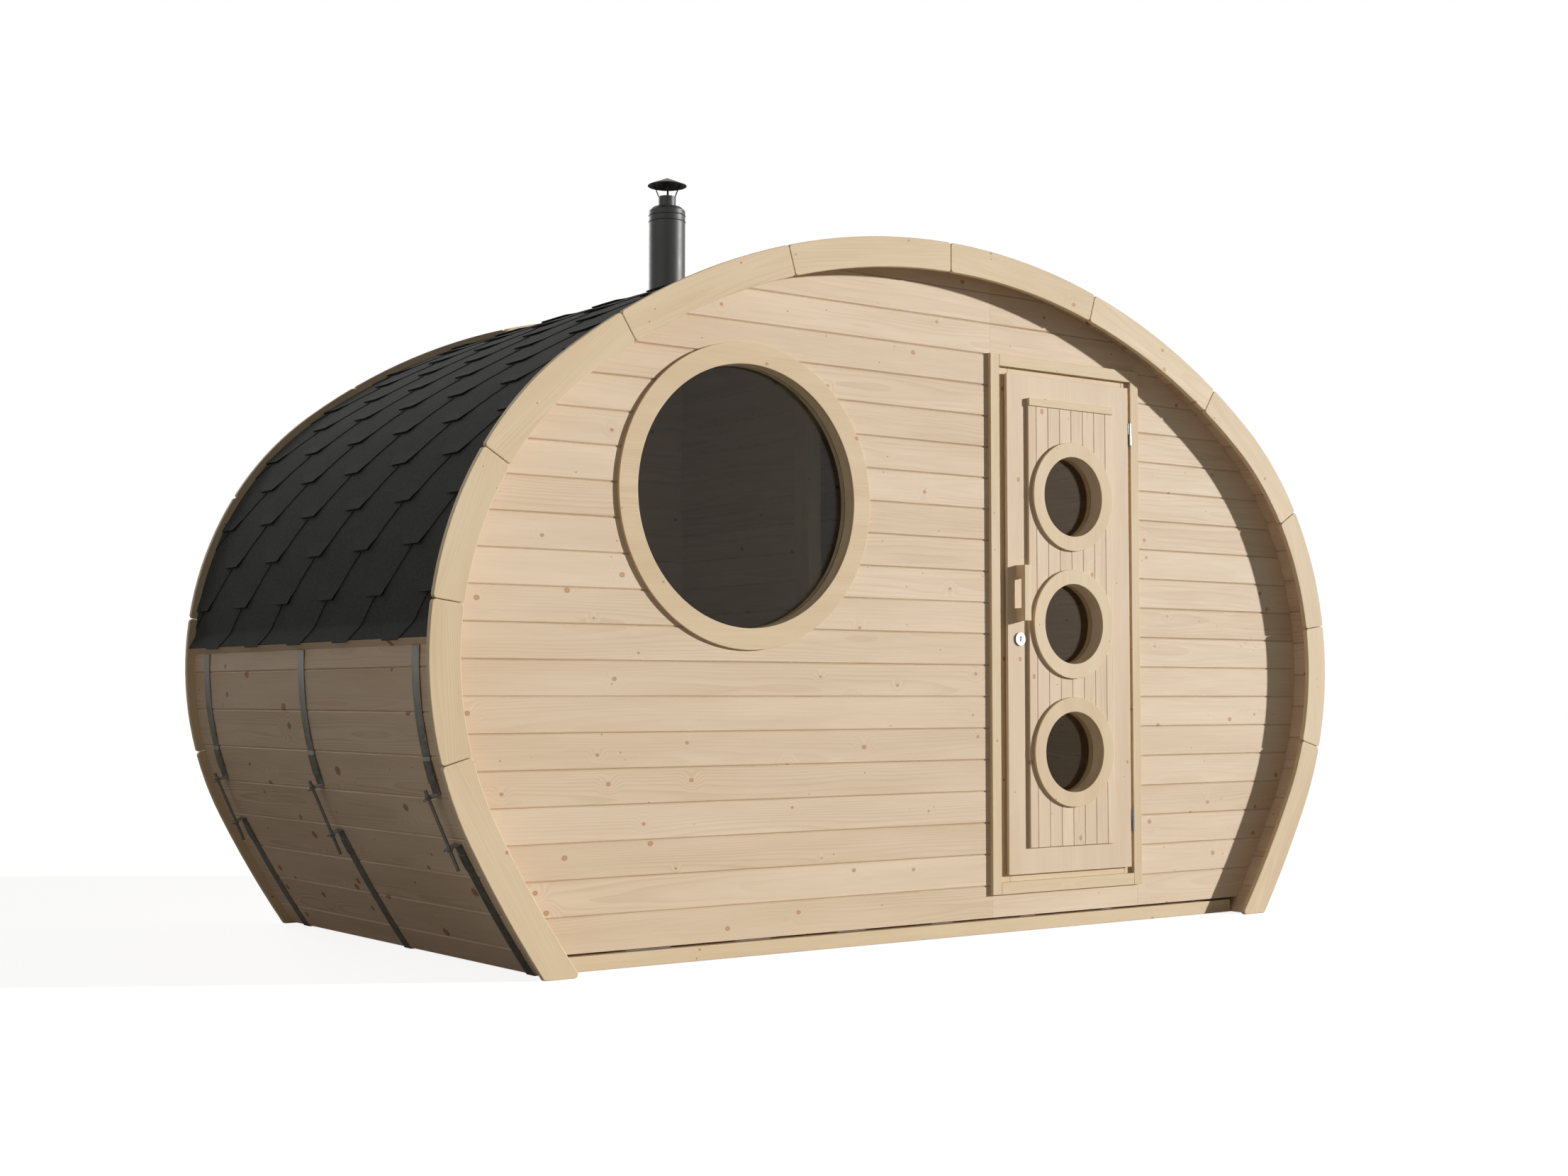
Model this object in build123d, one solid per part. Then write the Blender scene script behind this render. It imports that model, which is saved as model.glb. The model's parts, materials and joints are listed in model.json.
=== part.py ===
from build123d import *
import math
import os

# Oval outline of the barrel, seen from the front, at the outer edge of the end rings
BARREL_WIDTH = 4000.0
BARREL_HEIGHT = 2430.0
EQUATOR_HEIGHT = 965.0
SIDE_RADIUS = 1185.0
FOOT_RADIUS = 3990.0
FOOT_ARC_START = 28.0
BARREL_DEPTH = 1946.0

# End rings, each of arched boards screwed to the stave ends
RING_THICKNESS = 19.0
RING_WIDTH = 104.0
RING_BOARD_GAP = 2.0
RING_CORNER_RADIUS = 12.0
RING_JOINT_SHARES = (0.0, 0.189, 0.377, 0.550, 0.678, 0.808, 1.0)

# Staves
RING_LIP = 30.0
STAVE_THICKNESS = 42.0
STAVE_COVER = 133.0
STAVE_GAP = 0.4
STAVE_CHAMFER = 4.0
CROWN_STAVE_HALF_COUNT = 9

# Roof covering on the upper staves, and the tilting battens under its lower edges
COURSE_EXPOSURE = 154.0
EAVES_COURSE_LENGTH = 134.0
COVERING_THIN = 5.0
COVERING_BUTT = 7.4
COVERING_GAP = 0.4
RIDGE_STRIP_REACH = 88.0
RIDGE_STRIP_THICKNESS = 9.8
BATTEN_FOOT_HEIGHT = 996.0
BATTEN_NOSE_HEIGHT = 1017.0
BATTEN_NOSE_INSET = 8.0

# End walls of horizontal boards, set back from the rings
WALL_SETBACK = 97.0
WALL_THICKNESS = 42.0
WALL_BOARD_COVER = 112.0
WALL_BOTTOM_HEIGHT = 59.0
WALL_BOARD_GAP = 0.4
WALL_BOARD_CHAMFER = 4.0
WALL_EDGE_CLEARANCE = 0.3

# Floor
BASE_LIFT = 3.0
SILL_HEIGHT = 50.0
JOIST_WIDTH = 45.0
JOIST_COUNT = 7
JOIST_SPACING = 420.0
DECK_THICKNESS = 28.0
DECK_BOARD_COVER = 118.0
DECK_BOARD_GAP = 3.0
FLOOR_EDGE_CLEARANCE = 2.0

# Round window in the front wall
WINDOW_CENTRE_X = -802.0
WINDOW_CENTRE_HEIGHT = 1500.0
WINDOW_TRIM_DIAMETER = 1010.0
WINDOW_SIGHT_DIAMETER = 868.0
WINDOW_HOLE_DIAMETER = 892.0
WINDOW_TRIM_THICKNESS = 28.0
WINDOW_INNER_TRIM_THICKNESS = 18.0
WINDOW_GLASS_THICKNESS = 6.0
WINDOW_FIT = 1.0

# Door frame and casing
LEAF_WIDTH = 624.0
LEAF_HEIGHT = 1807.0
LEAF_CENTRE_X = 645.0
LEAF_BOTTOM_HEIGHT = 206.0
LATCH_GAP = 32.0
HINGE_GAP = 16.0
HEAD_GAP = 24.0
CASING_WIDTH = 43.0
CASING_THICKNESS = 15.0
CASING_OVERLAP = 12.0
JAMB_LAP = 20.0
FRAME_GAP = 0.4

# Door leaf
LEAF_LIP_THICKNESS = 13.0
LEAF_CORE_THICKNESS = 36.0
LEAF_CLEARANCE = 5.0
LATCH_CORE_CLEARANCE = 8.0
PANEL_WIDTH = 431.0
PANEL_THICKNESS = 11.0
PANEL_BOTTOM_RAIL = 94.0
PANEL_HEIGHT = 1601.0
PANEL_BOARD_COVER = 59.0
PANEL_BOARD_GAP = 2.0
PANEL_LATH_HEIGHT = 28.0
PANEL_LATH_THICKNESS = 15.5
PORTHOLE_COUNT = 3
PORTHOLE_SPACING = 469.0
PORTHOLE_LOWEST_HEIGHT = 641.0
PORTHOLE_DIAMETER = 294.0
PORTHOLE_RING_DIAMETER = 402.0
PORTHOLE_RING_THICKNESS = 11.0
PORTHOLE_INNER_RING_THICKNESS = 10.0
PORTHOLE_GLASS_THICKNESS = 5.0
PORTHOLE_GLASS_REBATE = 8.0
PORTHOLE_GLASS_DEPTH = 35.0
PORTHOLE_FIT = 0.5

# Door handle, lock and hinges
HANDLE_HEIGHT = 200.0
HANDLE_WIDTH = 34.0
HANDLE_STANDOFF = 45.0
HANDLE_GRIP_THICKNESS = 17.0
HANDLE_BLOCK_HEIGHT = 45.0
HANDLE_CENTRE_HEIGHT = 1217.0
HANDLE_EDGE_DISTANCE = 58.0
HANDLE_EDGE_RADIUS = 3.0
LOCK_HEIGHT = 1051.0
LOCK_DIAMETER = 48.0
LOCK_THICKNESS = 5.0
KEYHOLE_DIAMETER = 9.0
KEYHOLE_SLOT_WIDTH = 5.0
KEYHOLE_SLOT_HEIGHT = 17.0
HINGE_HEIGHTS = (381.5, 1837.0)
HINGE_LENGTH = 82.0
HINGE_KNUCKLE_DIAMETER = 10.0
HINGE_PIN_DIAMETER = 5.0
HINGE_PIN_CLEARANCE = 0.05
HINGE_KNUCKLE_GAP = 1.0
HINGE_PROUD = 1.0
HINGE_PLATE_THICKNESS = 2.0
HINGE_PLATE_DEPTH = 12.0
HINGE_ARM_THICKNESS = 2.0

# Partition seen through the round window
PARTITION_FACE_X = 77.0
PARTITION_THICKNESS = 42.0
PARTITION_FRONT_Y = 30.0
PARTITION_POST_WIDTH = 90.0
PARTITION_POST_DEPTH = 60.0
PARTITION_TOP_CLEARANCE = 0.3

# Steel tension bands round the lower staves, with the brackets and rods that pull them tight
BAND_WIDTH = 48.0
BAND_THICKNESS = 2.5
BAND_OFFSET = 830.0
BAND_UPPER_END_HEIGHT = 588.0
BAND_LOWER_END_HEIGHT = 375.0
BAND_JOGGLE = 12.0
BRACKET_THICKNESS = 3.0
BRACKET_WIDTH = 48.0
UPPER_BRACKET_HEIGHTS = (655.0, 556.0)
LOWER_BRACKET_HEIGHTS = (334.0, 408.0)
TAB_REACH = 50.0
TAB_TIP_RADIUS = 13.0
ROD_DIAMETER = 10.0
ROD_CLEARANCE = 0.4
ROD_STANDOFF = 32.0
ROD_TOP_OVERHANG = 26.0
ROD_BOTTOM_OVERHANG = 74.0
NUT_ACROSS_FLATS = 17.0
NUT_THICKNESS = 8.0
NUT_GAP = 0.3

# Chimney
CHIMNEY_X = -205.0
CHIMNEY_REAR_DISTANCE = 451.0
CHIMNEY_DIAMETER = 146.0
CHIMNEY_WALL = 2.0
CHIMNEY_SHOULDER_RADIUS = 14.0
CHIMNEY_BOTTOM_DROP = 60.0
CHIMNEY_BEAD_DROPS = (58.0, 33.0)
CHIMNEY_BEAD_RADIUS = 2.0
CHIMNEY_ROOF_CLEARANCE = 12.0
FLUE_DIAMETER = 70.0
FLUE_WALL = 1.5
FLUE_FIT = 0.3
FLUE_TOP_HEIGHT = 2858.0
FLUE_SHOWN_LENGTH = 45.0
CAP_DIAMETER = 157.0
CAP_RIM_RISE = 46.0
CAP_PEAK_RISE = 32.0
CAP_THICKNESS = 1.5
CAP_STRUT_COUNT = 3
CAP_STRUT_WIDTH = 8.0
CAP_STRUT_THICKNESS = 2.0
CAP_STRUT_SPLAY = 22.0
CAP_STRUT_LAP = 14.0
FLASHING_LENGTH = 300.0
FLASHING_WIDTH = 228.0
FLASHING_THICKNESS = 2.0
FLASHING_LIFT = 0.3
FLASHING_COLLAR_HEIGHT = 60.0

# Outline arcs worked out so that they run into each other smoothly
HALF_WIDTH = BARREL_WIDTH / 2
CROWN_RISE = BARREL_HEIGHT - EQUATOR_HEIGHT
SIDE_REACH = HALF_WIDTH - SIDE_RADIUS
CROWN_RADIUS = (SIDE_REACH**2 + CROWN_RISE**2 - SIDE_RADIUS**2) / (2 * (CROWN_RISE - SIDE_RADIUS))
CROWN_CENTRE_HEIGHT = BARREL_HEIGHT - CROWN_RADIUS
CROWN_TURN = math.atan2(SIDE_REACH, EQUATOR_HEIGHT - CROWN_CENTRE_HEIGHT)
FOOT_TURN = math.radians(90 + FOOT_ARC_START)
FOOT_REACH = SIDE_REACH + (SIDE_RADIUS - FOOT_RADIUS) * math.sin(FOOT_TURN)
FOOT_CENTRE_HEIGHT = EQUATOR_HEIGHT + (SIDE_RADIUS - FOOT_RADIUS) * math.cos(FOOT_TURN)
OUTLINE_ARCS = (
    (0.0, 0.0, CROWN_CENTRE_HEIGHT, CROWN_RADIUS),
    (CROWN_TURN, SIDE_REACH, EQUATOR_HEIGHT, SIDE_RADIUS),
    (FOOT_TURN, FOOT_REACH, FOOT_CENTRE_HEIGHT, FOOT_RADIUS),
)

# Levels and depths that several pieces share
STAVE_INNER = RING_LIP + STAVE_THICKNESS
BAND_DEPTHS = (-BAND_OFFSET, 0.0, BAND_OFFSET)
RING_FRONT_Y = -BARREL_DEPTH / 2
STAVE_FRONT_Y = RING_FRONT_Y + RING_THICKNESS
WALL_FRONT_Y = RING_FRONT_Y + WALL_SETBACK
WALL_INNER_Y = WALL_FRONT_Y + WALL_THICKNESS
CASING_FACE_Y = WALL_FRONT_Y - CASING_THICKNESS
LEAF_BACK_Y = WALL_FRONT_Y - LEAF_CLEARANCE
LEAF_FACE_Y = LEAF_BACK_Y - LEAF_LIP_THICKNESS
CORE_BACK_Y = LEAF_BACK_Y + LEAF_CORE_THICKNESS
PANEL_FACE_Y = LEAF_FACE_Y - PANEL_THICKNESS
FLOOR_HEIGHT = SILL_HEIGHT + DECK_THICKNESS
CHIMNEY_Y = BARREL_DEPTH / 2 - CHIMNEY_REAR_DISTANCE
CHIMNEY_TOP_HEIGHT = FLUE_TOP_HEIGHT - FLUE_SHOWN_LENGTH
CAP_RIM_HEIGHT = FLUE_TOP_HEIGHT + CAP_RIM_RISE
SHOULDER_STAVE_FIRST = CROWN_STAVE_HALF_COUNT + 1

LEAF_LEFT = LEAF_CENTRE_X - LEAF_WIDTH / 2
LEAF_RIGHT = LEAF_CENTRE_X + LEAF_WIDTH / 2
LEAF_TOP_HEIGHT = LEAF_BOTTOM_HEIGHT + LEAF_HEIGHT
CASING_INNER = (LEAF_LEFT - LATCH_GAP, LEAF_RIGHT + HINGE_GAP,
                LEAF_BOTTOM_HEIGHT - HEAD_GAP, LEAF_TOP_HEIGHT + HEAD_GAP)
CLEAR_OPENING = (LEAF_LEFT + JAMB_LAP, LEAF_RIGHT - JAMB_LAP,
                 LEAF_BOTTOM_HEIGHT + JAMB_LAP, LEAF_TOP_HEIGHT - JAMB_LAP)
HINGE_X = LEAF_RIGHT + HINGE_GAP / 2
HINGE_Y = LEAF_FACE_Y - HINGE_PROUD


def arc_at(turn):
    """The outline arc whose outward normal makes this angle with the vertical."""
    found = OUTLINE_ARCS[0]
    for arc in OUTLINE_ARCS:
        if turn > arc[0]:
            found = arc
    return found


def oval_point(turn, inset, side=1):
    """Point on the oval, this far inside the ring edge; side is 1 at right and -1 at left."""
    _, reach, height, radius = arc_at(turn)
    return (side * (reach + (radius - inset) * math.sin(turn)),
            height + (radius - inset) * math.cos(turn))


def turn_at_height(level, inset):
    """Angle of the outward normal where the oval passes a level below its crown."""
    found = 0.0
    for start, _, height, radius in OUTLINE_ARCS:
        cosine = (level - height) / (radius - inset)
        if cosine <= math.cos(start):
            found = math.acos(max(cosine, -1.0))
    return found


def turn_at_run(run, inset):
    """Angle of the outward normal at this distance from the crown along the oval."""
    ends = [arc[0] for arc in OUTLINE_ARCS[1:]] + [math.pi]
    left = run
    for (start, _, _, radius), end in zip(OUTLINE_ARCS, ends):
        length = (radius - inset) * (end - start)
        if left <= length:
            return start + left / (radius - inset)
        left -= length
    return math.pi


def run_at_turn(turn, inset):
    """Distance from the crown along the oval, back from the angle of the normal."""
    ends = [arc[0] for arc in OUTLINE_ARCS[1:]] + [math.pi]
    run = 0.0
    for (start, _, _, radius), end in zip(OUTLINE_ARCS, ends):
        if turn > start:
            run += (radius - inset) * (min(turn, end) - start)
    return run


def oval_edges(turn_a, turn_b, inset, side):
    """Tangent arcs along the oval between two normals."""
    low, high = sorted((turn_a, turn_b))
    stops = [low] + [arc[0] for arc in OUTLINE_ARCS if low < arc[0] < high] + [high]
    edges = []
    for start, end in zip(stops, stops[1:]):
        turns = (start, (start + end) / 2, end)
        edges.append(ThreePointArc(*[oval_point(turn, inset, side) for turn in turns]))
    return edges


def oval_strip(outer_turns, inner_turns, outer_inset, inner_inset, side):
    """Face between two insets of the oval, closed by a straight line at each end."""
    edges = oval_edges(*outer_turns, outer_inset, side) + oval_edges(*inner_turns, inner_inset, side)
    for outer, inner in zip(outer_turns, inner_turns):
        edges.append(Line(oval_point(outer, outer_inset, side), oval_point(inner, inner_inset, side)))
    return make_face(Wire(edges))


def plate(face, front_y, back_y):
    """Solid with this front view between two depths."""
    back = Plane(origin=(0, back_y, 0), x_dir=(1, 0, 0), z_dir=(0, -1, 0))
    return extrude(back * face, amount=back_y - front_y)


def block(x_range, y_range, z_range):
    """Straight piece between three pairs of limits."""
    sizes = [limits[1] - limits[0] for limits in (x_range, y_range, z_range)]
    corner = Pos(x_range[0], y_range[0], z_range[0])
    return corner * Box(*sizes, align=(Align.MIN, Align.MIN, Align.MIN))


def disc(x, height, radius, front_y, back_y):
    """Round plate that faces the front."""
    return plate(Pos(x, height) * Circle(radius), front_y, back_y)


def hoop(x, height, outer_radius, inner_radius, front_y, back_y):
    """Flat ring that faces the front."""
    face = Pos(x, height) * (Circle(outer_radius) - Circle(inner_radius))
    return plate(face, front_y, back_y)


def save(name, *pieces):
    """Write one node, of one or more separate solids."""
    solids = [solid for piece in pieces for solid in piece.solids()]
    shape = solids[0] if len(solids) == 1 else Compound(children=solids)
    export_step(shape, "parts/" + name + ".step")


def quad(points):
    """Flat face through four corners."""
    return make_face(Polyline(*points, close=True))


def ring_board(side, start, end, front_y):
    """One arched board of an end ring, with its corners rounded."""
    face = oval_strip((start[0], end[0]), (start[1], end[1]), 0.0, RING_WIDTH, side)
    corners = [oval_point(turns[row], row * RING_WIDTH, side) for turns in (start, end) for row in (0, 1)]
    rounded = [vertex for vertex in face.vertices()
               if min(math.dist((vertex.X, vertex.Y), corner) for corner in corners) < RING_BOARD_GAP]
    return plate(fillet(rounded, RING_CORNER_RADIUS), front_y, front_y + RING_THICKNESS)


def half_ring(side, front_y):
    """The arched boards on one side of an end ring, from the crown to the foot."""
    foot = (turn_at_height(0.0, 0.0), turn_at_height(0.0, RING_WIDTH))
    length = run_at_turn(foot[0], 0.0)
    boards = []
    last = len(RING_JOINT_SHARES) - 1
    for index in range(last):
        run_a = RING_JOINT_SHARES[index] * length + RING_BOARD_GAP / 2
        run_b = RING_JOINT_SHARES[index + 1] * length - RING_BOARD_GAP / 2
        start = turn_at_run(run_a, 0.0)
        end = foot if index + 1 == last else (turn_at_run(run_b, 0.0),) * 2
        boards.append(ring_board(side, (start, start), end, front_y))
    return boards


def stave_turns(number):
    """Angles of the normals at the two joints of a stave; stave 0 lies on the crown."""
    run_a = (number - 0.5) * STAVE_COVER
    run_b = (number + 0.5) * STAVE_COVER
    return turn_at_run(run_a, RING_LIP), turn_at_run(run_b, RING_LIP)


def stave_count():
    """Number of the lowest stave, which the base cuts off."""
    return int(run_at_turn(turn_at_height(BASE_LIFT, RING_LIP), RING_LIP) / STAVE_COVER + 0.5)


def shortened(start, end, gap):
    """Ends of a straight line after half a gap is taken off each."""
    share = gap / 2 / math.dist(start, end)
    steps = [(end[axis] - start[axis]) * share for axis in (0, 1)]
    return ((start[0] + steps[0], start[1] + steps[1]), (end[0] - steps[0], end[1] - steps[1]))


def stave_face(side, number):
    """Front view of one stave, with its edges chamfered into a V at each joint."""
    start, end = [(turn, turn) for turn in stave_turns(number)]
    if number == stave_count():
        end = (turn_at_height(BASE_LIFT, RING_LIP), turn_at_height(BASE_LIFT, STAVE_INNER))
    insets = (RING_LIP, STAVE_INNER)
    outer, inner = [shortened(oval_point(start[row], insets[row], side), oval_point(end[row], insets[row], side),
                              STAVE_GAP) for row in (0, 1)]
    return chamfer(quad([*outer, *inner[::-1]]).vertices(), STAVE_CHAMFER)


def crown_stave_face():
    """Front view of the stave on the crown."""
    turn = stave_turns(0)[1]
    outer, inner = [shortened(oval_point(turn, inset, -1), oval_point(turn, inset), STAVE_GAP)
                    for inset in (RING_LIP, STAVE_INNER)]
    return chamfer(quad([*outer, *inner[::-1]]).vertices(), STAVE_CHAMFER)


def staves(sides, first, last):
    """Staves from one number to another, on one side or both."""
    pieces = []
    for side in sides:
        for number in range(first, last + 1):
            pieces.append(plate(stave_face(side, number), STAVE_FRONT_Y, -STAVE_FRONT_Y))
    return pieces


def chimney_hole():
    """Upright cutter through the roof where the chimney passes."""
    radius = CHIMNEY_DIAMETER / 2 + CHIMNEY_ROOF_CLEARANCE
    return Pos(CHIMNEY_X, CHIMNEY_Y, BARREL_HEIGHT) * Cylinder(radius, BARREL_HEIGHT)


def crown_staves():
    """Staves over the crown, holed for the chimney."""
    pieces = [plate(crown_stave_face(), STAVE_FRONT_Y, -STAVE_FRONT_Y)]
    pieces += staves((-1, 1), 1, CROWN_STAVE_HALF_COUNT)
    return [piece - chimney_hole() for piece in pieces]


def facet_points(inset, turns, side):
    """Corners of the faceted oval at the stave joints."""
    return [oval_point(turn, inset, side) for turn in turns]


def above(level):
    """Front view of everything above a level."""
    return Pos(0, level) * Rectangle(BARREL_WIDTH, BARREL_HEIGHT, align=(Align.CENTER, Align.MIN))


def eaves_stave():
    """Number of the stave that carries the batten at the eaves."""
    run = run_at_turn(turn_at_height(BATTEN_NOSE_HEIGHT, RING_LIP), RING_LIP)
    return int(run / STAVE_COVER + 0.5)


def on_stave(number, level, side):
    """Point on the outer face of a stave at a level."""
    top, foot = [oval_point(turn, RING_LIP, side) for turn in stave_turns(number)]
    share = (top[1] - level) / (top[1] - foot[1])
    return top[0] + share * (foot[0] - top[0]), level


def batten_nose(side):
    """Outer edge of the tilting batten."""
    return oval_point(turn_at_height(BATTEN_NOSE_HEIGHT, BATTEN_NOSE_INSET), BATTEN_NOSE_INSET, side)


def eaves_battens():
    """Three-cornered battens that tilt the lowest course of the covering outwards."""
    pieces = []
    for side in (-1, 1):
        top, _ = shortened(*facet_points(RING_LIP, stave_turns(eaves_stave()), side), COVERING_GAP)
        corners = [top, batten_nose(side), on_stave(eaves_stave(), BATTEN_FOOT_HEIGHT, side)]
        pieces.append(plate(make_face(Polyline(*corners, close=True)), STAVE_FRONT_Y, -STAVE_FRONT_Y))
    return pieces


def covering_course(side, run_a, run_b):
    """One course of roof covering, thin at its upper edge and thick at its butt."""
    upper = turn_at_run(run_a + COVERING_GAP / 2, RING_LIP)
    lower = turn_at_run(run_b - COVERING_GAP / 2, RING_LIP)
    turns = (upper, (upper + lower) / 2, lower)
    thicknesses = (COVERING_THIN, (COVERING_THIN + COVERING_BUTT) / 2, COVERING_BUTT)
    over = [oval_point(turn, RING_LIP - thickness, side) for turn, thickness in zip(turns, thicknesses)]
    edges = oval_edges(upper, lower, RING_LIP, side) + [ThreePointArc(*over)]
    edges += [Line(oval_point(upper, RING_LIP, side), over[0]), Line(oval_point(lower, RING_LIP, side), over[2])]
    return plate(make_face(Wire(edges)), STAVE_FRONT_Y, -STAVE_FRONT_Y) - chimney_hole()


def eaves_course_run():
    """Distance from the crown to the head of the lowest course."""
    return run_at_turn(turn_at_height(BATTEN_NOSE_HEIGHT, RING_LIP), RING_LIP) - EAVES_COURSE_LENGTH


def eaves_course(side):
    """Lowest course, which lies on the staves and then flares out over the batten."""
    head = turn_at_run(eaves_course_run() + COVERING_GAP / 2, RING_LIP)
    bend = stave_turns(eaves_stave())[0]
    nose = batten_nose(side)
    start, bent = [oval_point(turn, RING_LIP, side) for turn in (head, bend)]
    length = math.dist(bent, nose)
    outward = (side * (bent[1] - nose[1]) / length, abs(nose[0] - bent[0]) / length)
    over_nose = (nose[0] + outward[0] * COVERING_BUTT, nose[1] + outward[1] * COVERING_BUTT)
    over = [oval_point(turn, RING_LIP - COVERING_THIN, side) for turn in (head, bend)] + [over_nose]
    edges = oval_edges(head, bend, RING_LIP, side) + [Line(bent, nose), Line(nose, over_nose)]
    edges += [Line(over[2], over[1]), Line(over[1], over[0]), Line(over[0], start)]
    return plate(make_face(Wire(edges)), STAVE_FRONT_Y, -STAVE_FRONT_Y)


def roof_covering(side):
    """Courses of one roof slope, from the eaves up to the ridge strip."""
    courses = [eaves_course(side)]
    butt = eaves_course_run()
    while butt > RIDGE_STRIP_REACH + COVERING_BUTT:
        head = max(butt - COURSE_EXPOSURE, RIDGE_STRIP_REACH)
        courses.append(covering_course(side, head, butt))
        butt = head
    return courses


def ridge_strip():
    """Strip of covering over the crown."""
    turn = turn_at_run(RIDGE_STRIP_REACH - COVERING_GAP / 2, RING_LIP)
    insets = (RING_LIP, RING_LIP - RIDGE_STRIP_THICKNESS)
    arcs = [ThreePointArc(oval_point(turn, inset, -1), oval_point(0.0, inset), oval_point(turn, inset))
            for inset in insets]
    ends = [Line(*[oval_point(turn, inset, side) for inset in insets]) for side in (-1, 1)]
    return plate(make_face(Wire(arcs + ends)), STAVE_FRONT_Y, -STAVE_FRONT_Y)


def inner_oval(clearance, bottom):
    """Front view of the faceted space inside the staves, above a level."""
    inset = STAVE_INNER + clearance
    turns = [stave_turns(number)[1] for number in range(stave_count())]
    turns.append(turn_at_height(0.0, inset))
    points = facet_points(inset, turns, 1) + facet_points(inset, turns, -1)[::-1]
    return make_face(Polyline(*points, close=True)) & above(bottom)


def board_joint(height, y_range, x_range):
    """Cutter for one joint between wall boards, opening into a V on both faces."""
    half = WALL_BOARD_GAP / 2
    wide = half + WALL_BOARD_CHAMFER
    front, back = y_range
    deep = WALL_BOARD_CHAMFER
    points = [(front, -wide), (front + deep, -half), (back - deep, -half), (back, -wide),
              (back, wide), (back - deep, half), (front + deep, half), (front, wide)]
    side_view = Plane(origin=(x_range[0], 0, height), x_dir=(0, 1, 0), z_dir=(1, 0, 0))
    return extrude(side_view * make_face(Polyline(*points, close=True)), amount=x_range[1] - x_range[0])


def split_into_boards(wall, y_range, x_range):
    """Cut a plain wall at each board joint."""
    heights = []
    height = WALL_BOTTOM_HEIGHT + WALL_BOARD_COVER
    while height < BARREL_HEIGHT:
        heights.append(height)
        height += WALL_BOARD_COVER
    return wall - [board_joint(height, y_range, x_range) for height in heights]


def wall_part(x_range, z_range, front_y, cut=None):
    """Boards of an end wall inside a rectangle of its front view."""
    y_range = (front_y, front_y + WALL_THICKNESS)
    wall = plate(inner_oval(WALL_EDGE_CLEARANCE, WALL_BOTTOM_HEIGHT), *y_range)
    wall = wall & block(x_range, y_range, z_range)
    if cut is not None:
        wall = wall - cut
    return split_into_boards(wall, y_range, x_range)


def frame_hole():
    """Limits of the hole that the front wall has for the door frame."""
    grow = CASING_WIDTH - CASING_OVERLAP
    left, right, bottom, top = CASING_INNER
    return left - grow, right + grow, bottom - grow, top + grow


def front_wall():
    """The front wall in four parts, beside, over and under the door."""
    left, right, bottom, top = frame_hole()
    everything = (0.0, BARREL_HEIGHT)
    window = disc(WINDOW_CENTRE_X, WINDOW_CENTRE_HEIGHT, WINDOW_HOLE_DIAMETER / 2, WALL_FRONT_Y, WALL_INNER_Y)
    gap = WALL_BOARD_GAP
    save("front_wall_left", wall_part((-HALF_WIDTH, left), everything, WALL_FRONT_Y, window))
    save("front_wall_right", wall_part((right, HALF_WIDTH), everything, WALL_FRONT_Y))
    save("front_wall_over_door", wall_part((left + gap, right - gap), (top, BARREL_HEIGHT), WALL_FRONT_Y))
    save("front_wall_under_door", wall_part((left + gap, right - gap), (0.0, bottom), WALL_FRONT_Y))


def floor():
    """Sills under the end walls, joists between them and boards on top."""
    high = SILL_HEIGHT
    edge = oval_point(turn_at_height(BASE_LIFT, STAVE_INNER), STAVE_INNER)[0] - FLOOR_EDGE_CLEARANCE
    save("floor_sills",
         block((-edge, edge), (WALL_FRONT_Y, WALL_INNER_Y), (BASE_LIFT, high)),
         block((-edge, edge), (-WALL_INNER_Y, -WALL_FRONT_Y), (BASE_LIFT, high)))
    joists = []
    for index in range(JOIST_COUNT):
        x = (index - (JOIST_COUNT - 1) / 2) * JOIST_SPACING
        x_range = (x - JOIST_WIDTH / 2, x + JOIST_WIDTH / 2)
        joists.append(block(x_range, (WALL_INNER_Y, -WALL_INNER_Y), (BASE_LIFT, high)))
    save("floor_joists", *joists)
    boards = []
    depth = -2 * WALL_INNER_Y
    count = math.ceil(depth / DECK_BOARD_COVER)
    cover = depth / count
    for index in range(count):
        front = WALL_INNER_Y + index * cover
        gap = 0.0 if index + 1 == count else DECK_BOARD_GAP
        boards.append(block((-edge, edge), (front, front + cover - gap), (SILL_HEIGHT, FLOOR_HEIGHT)))
    save("floor_deck", *boards)


def partition():
    """Boarded partition from the rear wall to its post, open from there to the front wall."""
    left = PARTITION_FACE_X
    right = left + PARTITION_THICKNESS
    room = inner_oval(PARTITION_TOP_CLEARANCE, FLOOR_HEIGHT)
    wall = plate(room, PARTITION_FRONT_Y, -WALL_INNER_Y)
    wall = wall & block((left, right), (PARTITION_FRONT_Y, -WALL_INNER_Y), (0.0, BARREL_HEIGHT))
    turned = Rot(0, 0, 90)
    boards = wall
    height = WALL_BOTTOM_HEIGHT + WALL_BOARD_COVER
    while height < BARREL_HEIGHT:
        joint = board_joint(height, (-right, -left), (PARTITION_FRONT_Y, -WALL_INNER_Y))
        boards = boards - turned * joint
        height += WALL_BOARD_COVER
    save("partition_wall", boards)
    middle = (left + right) / 2
    post_x = (middle - PARTITION_POST_DEPTH / 2, middle + PARTITION_POST_DEPTH / 2)
    post_y = (PARTITION_FRONT_Y - PARTITION_POST_WIDTH, PARTITION_FRONT_Y)
    post = plate(room, *post_y) & block(post_x, post_y, (0.0, BARREL_HEIGHT))
    save("partition_post", post)


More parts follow.
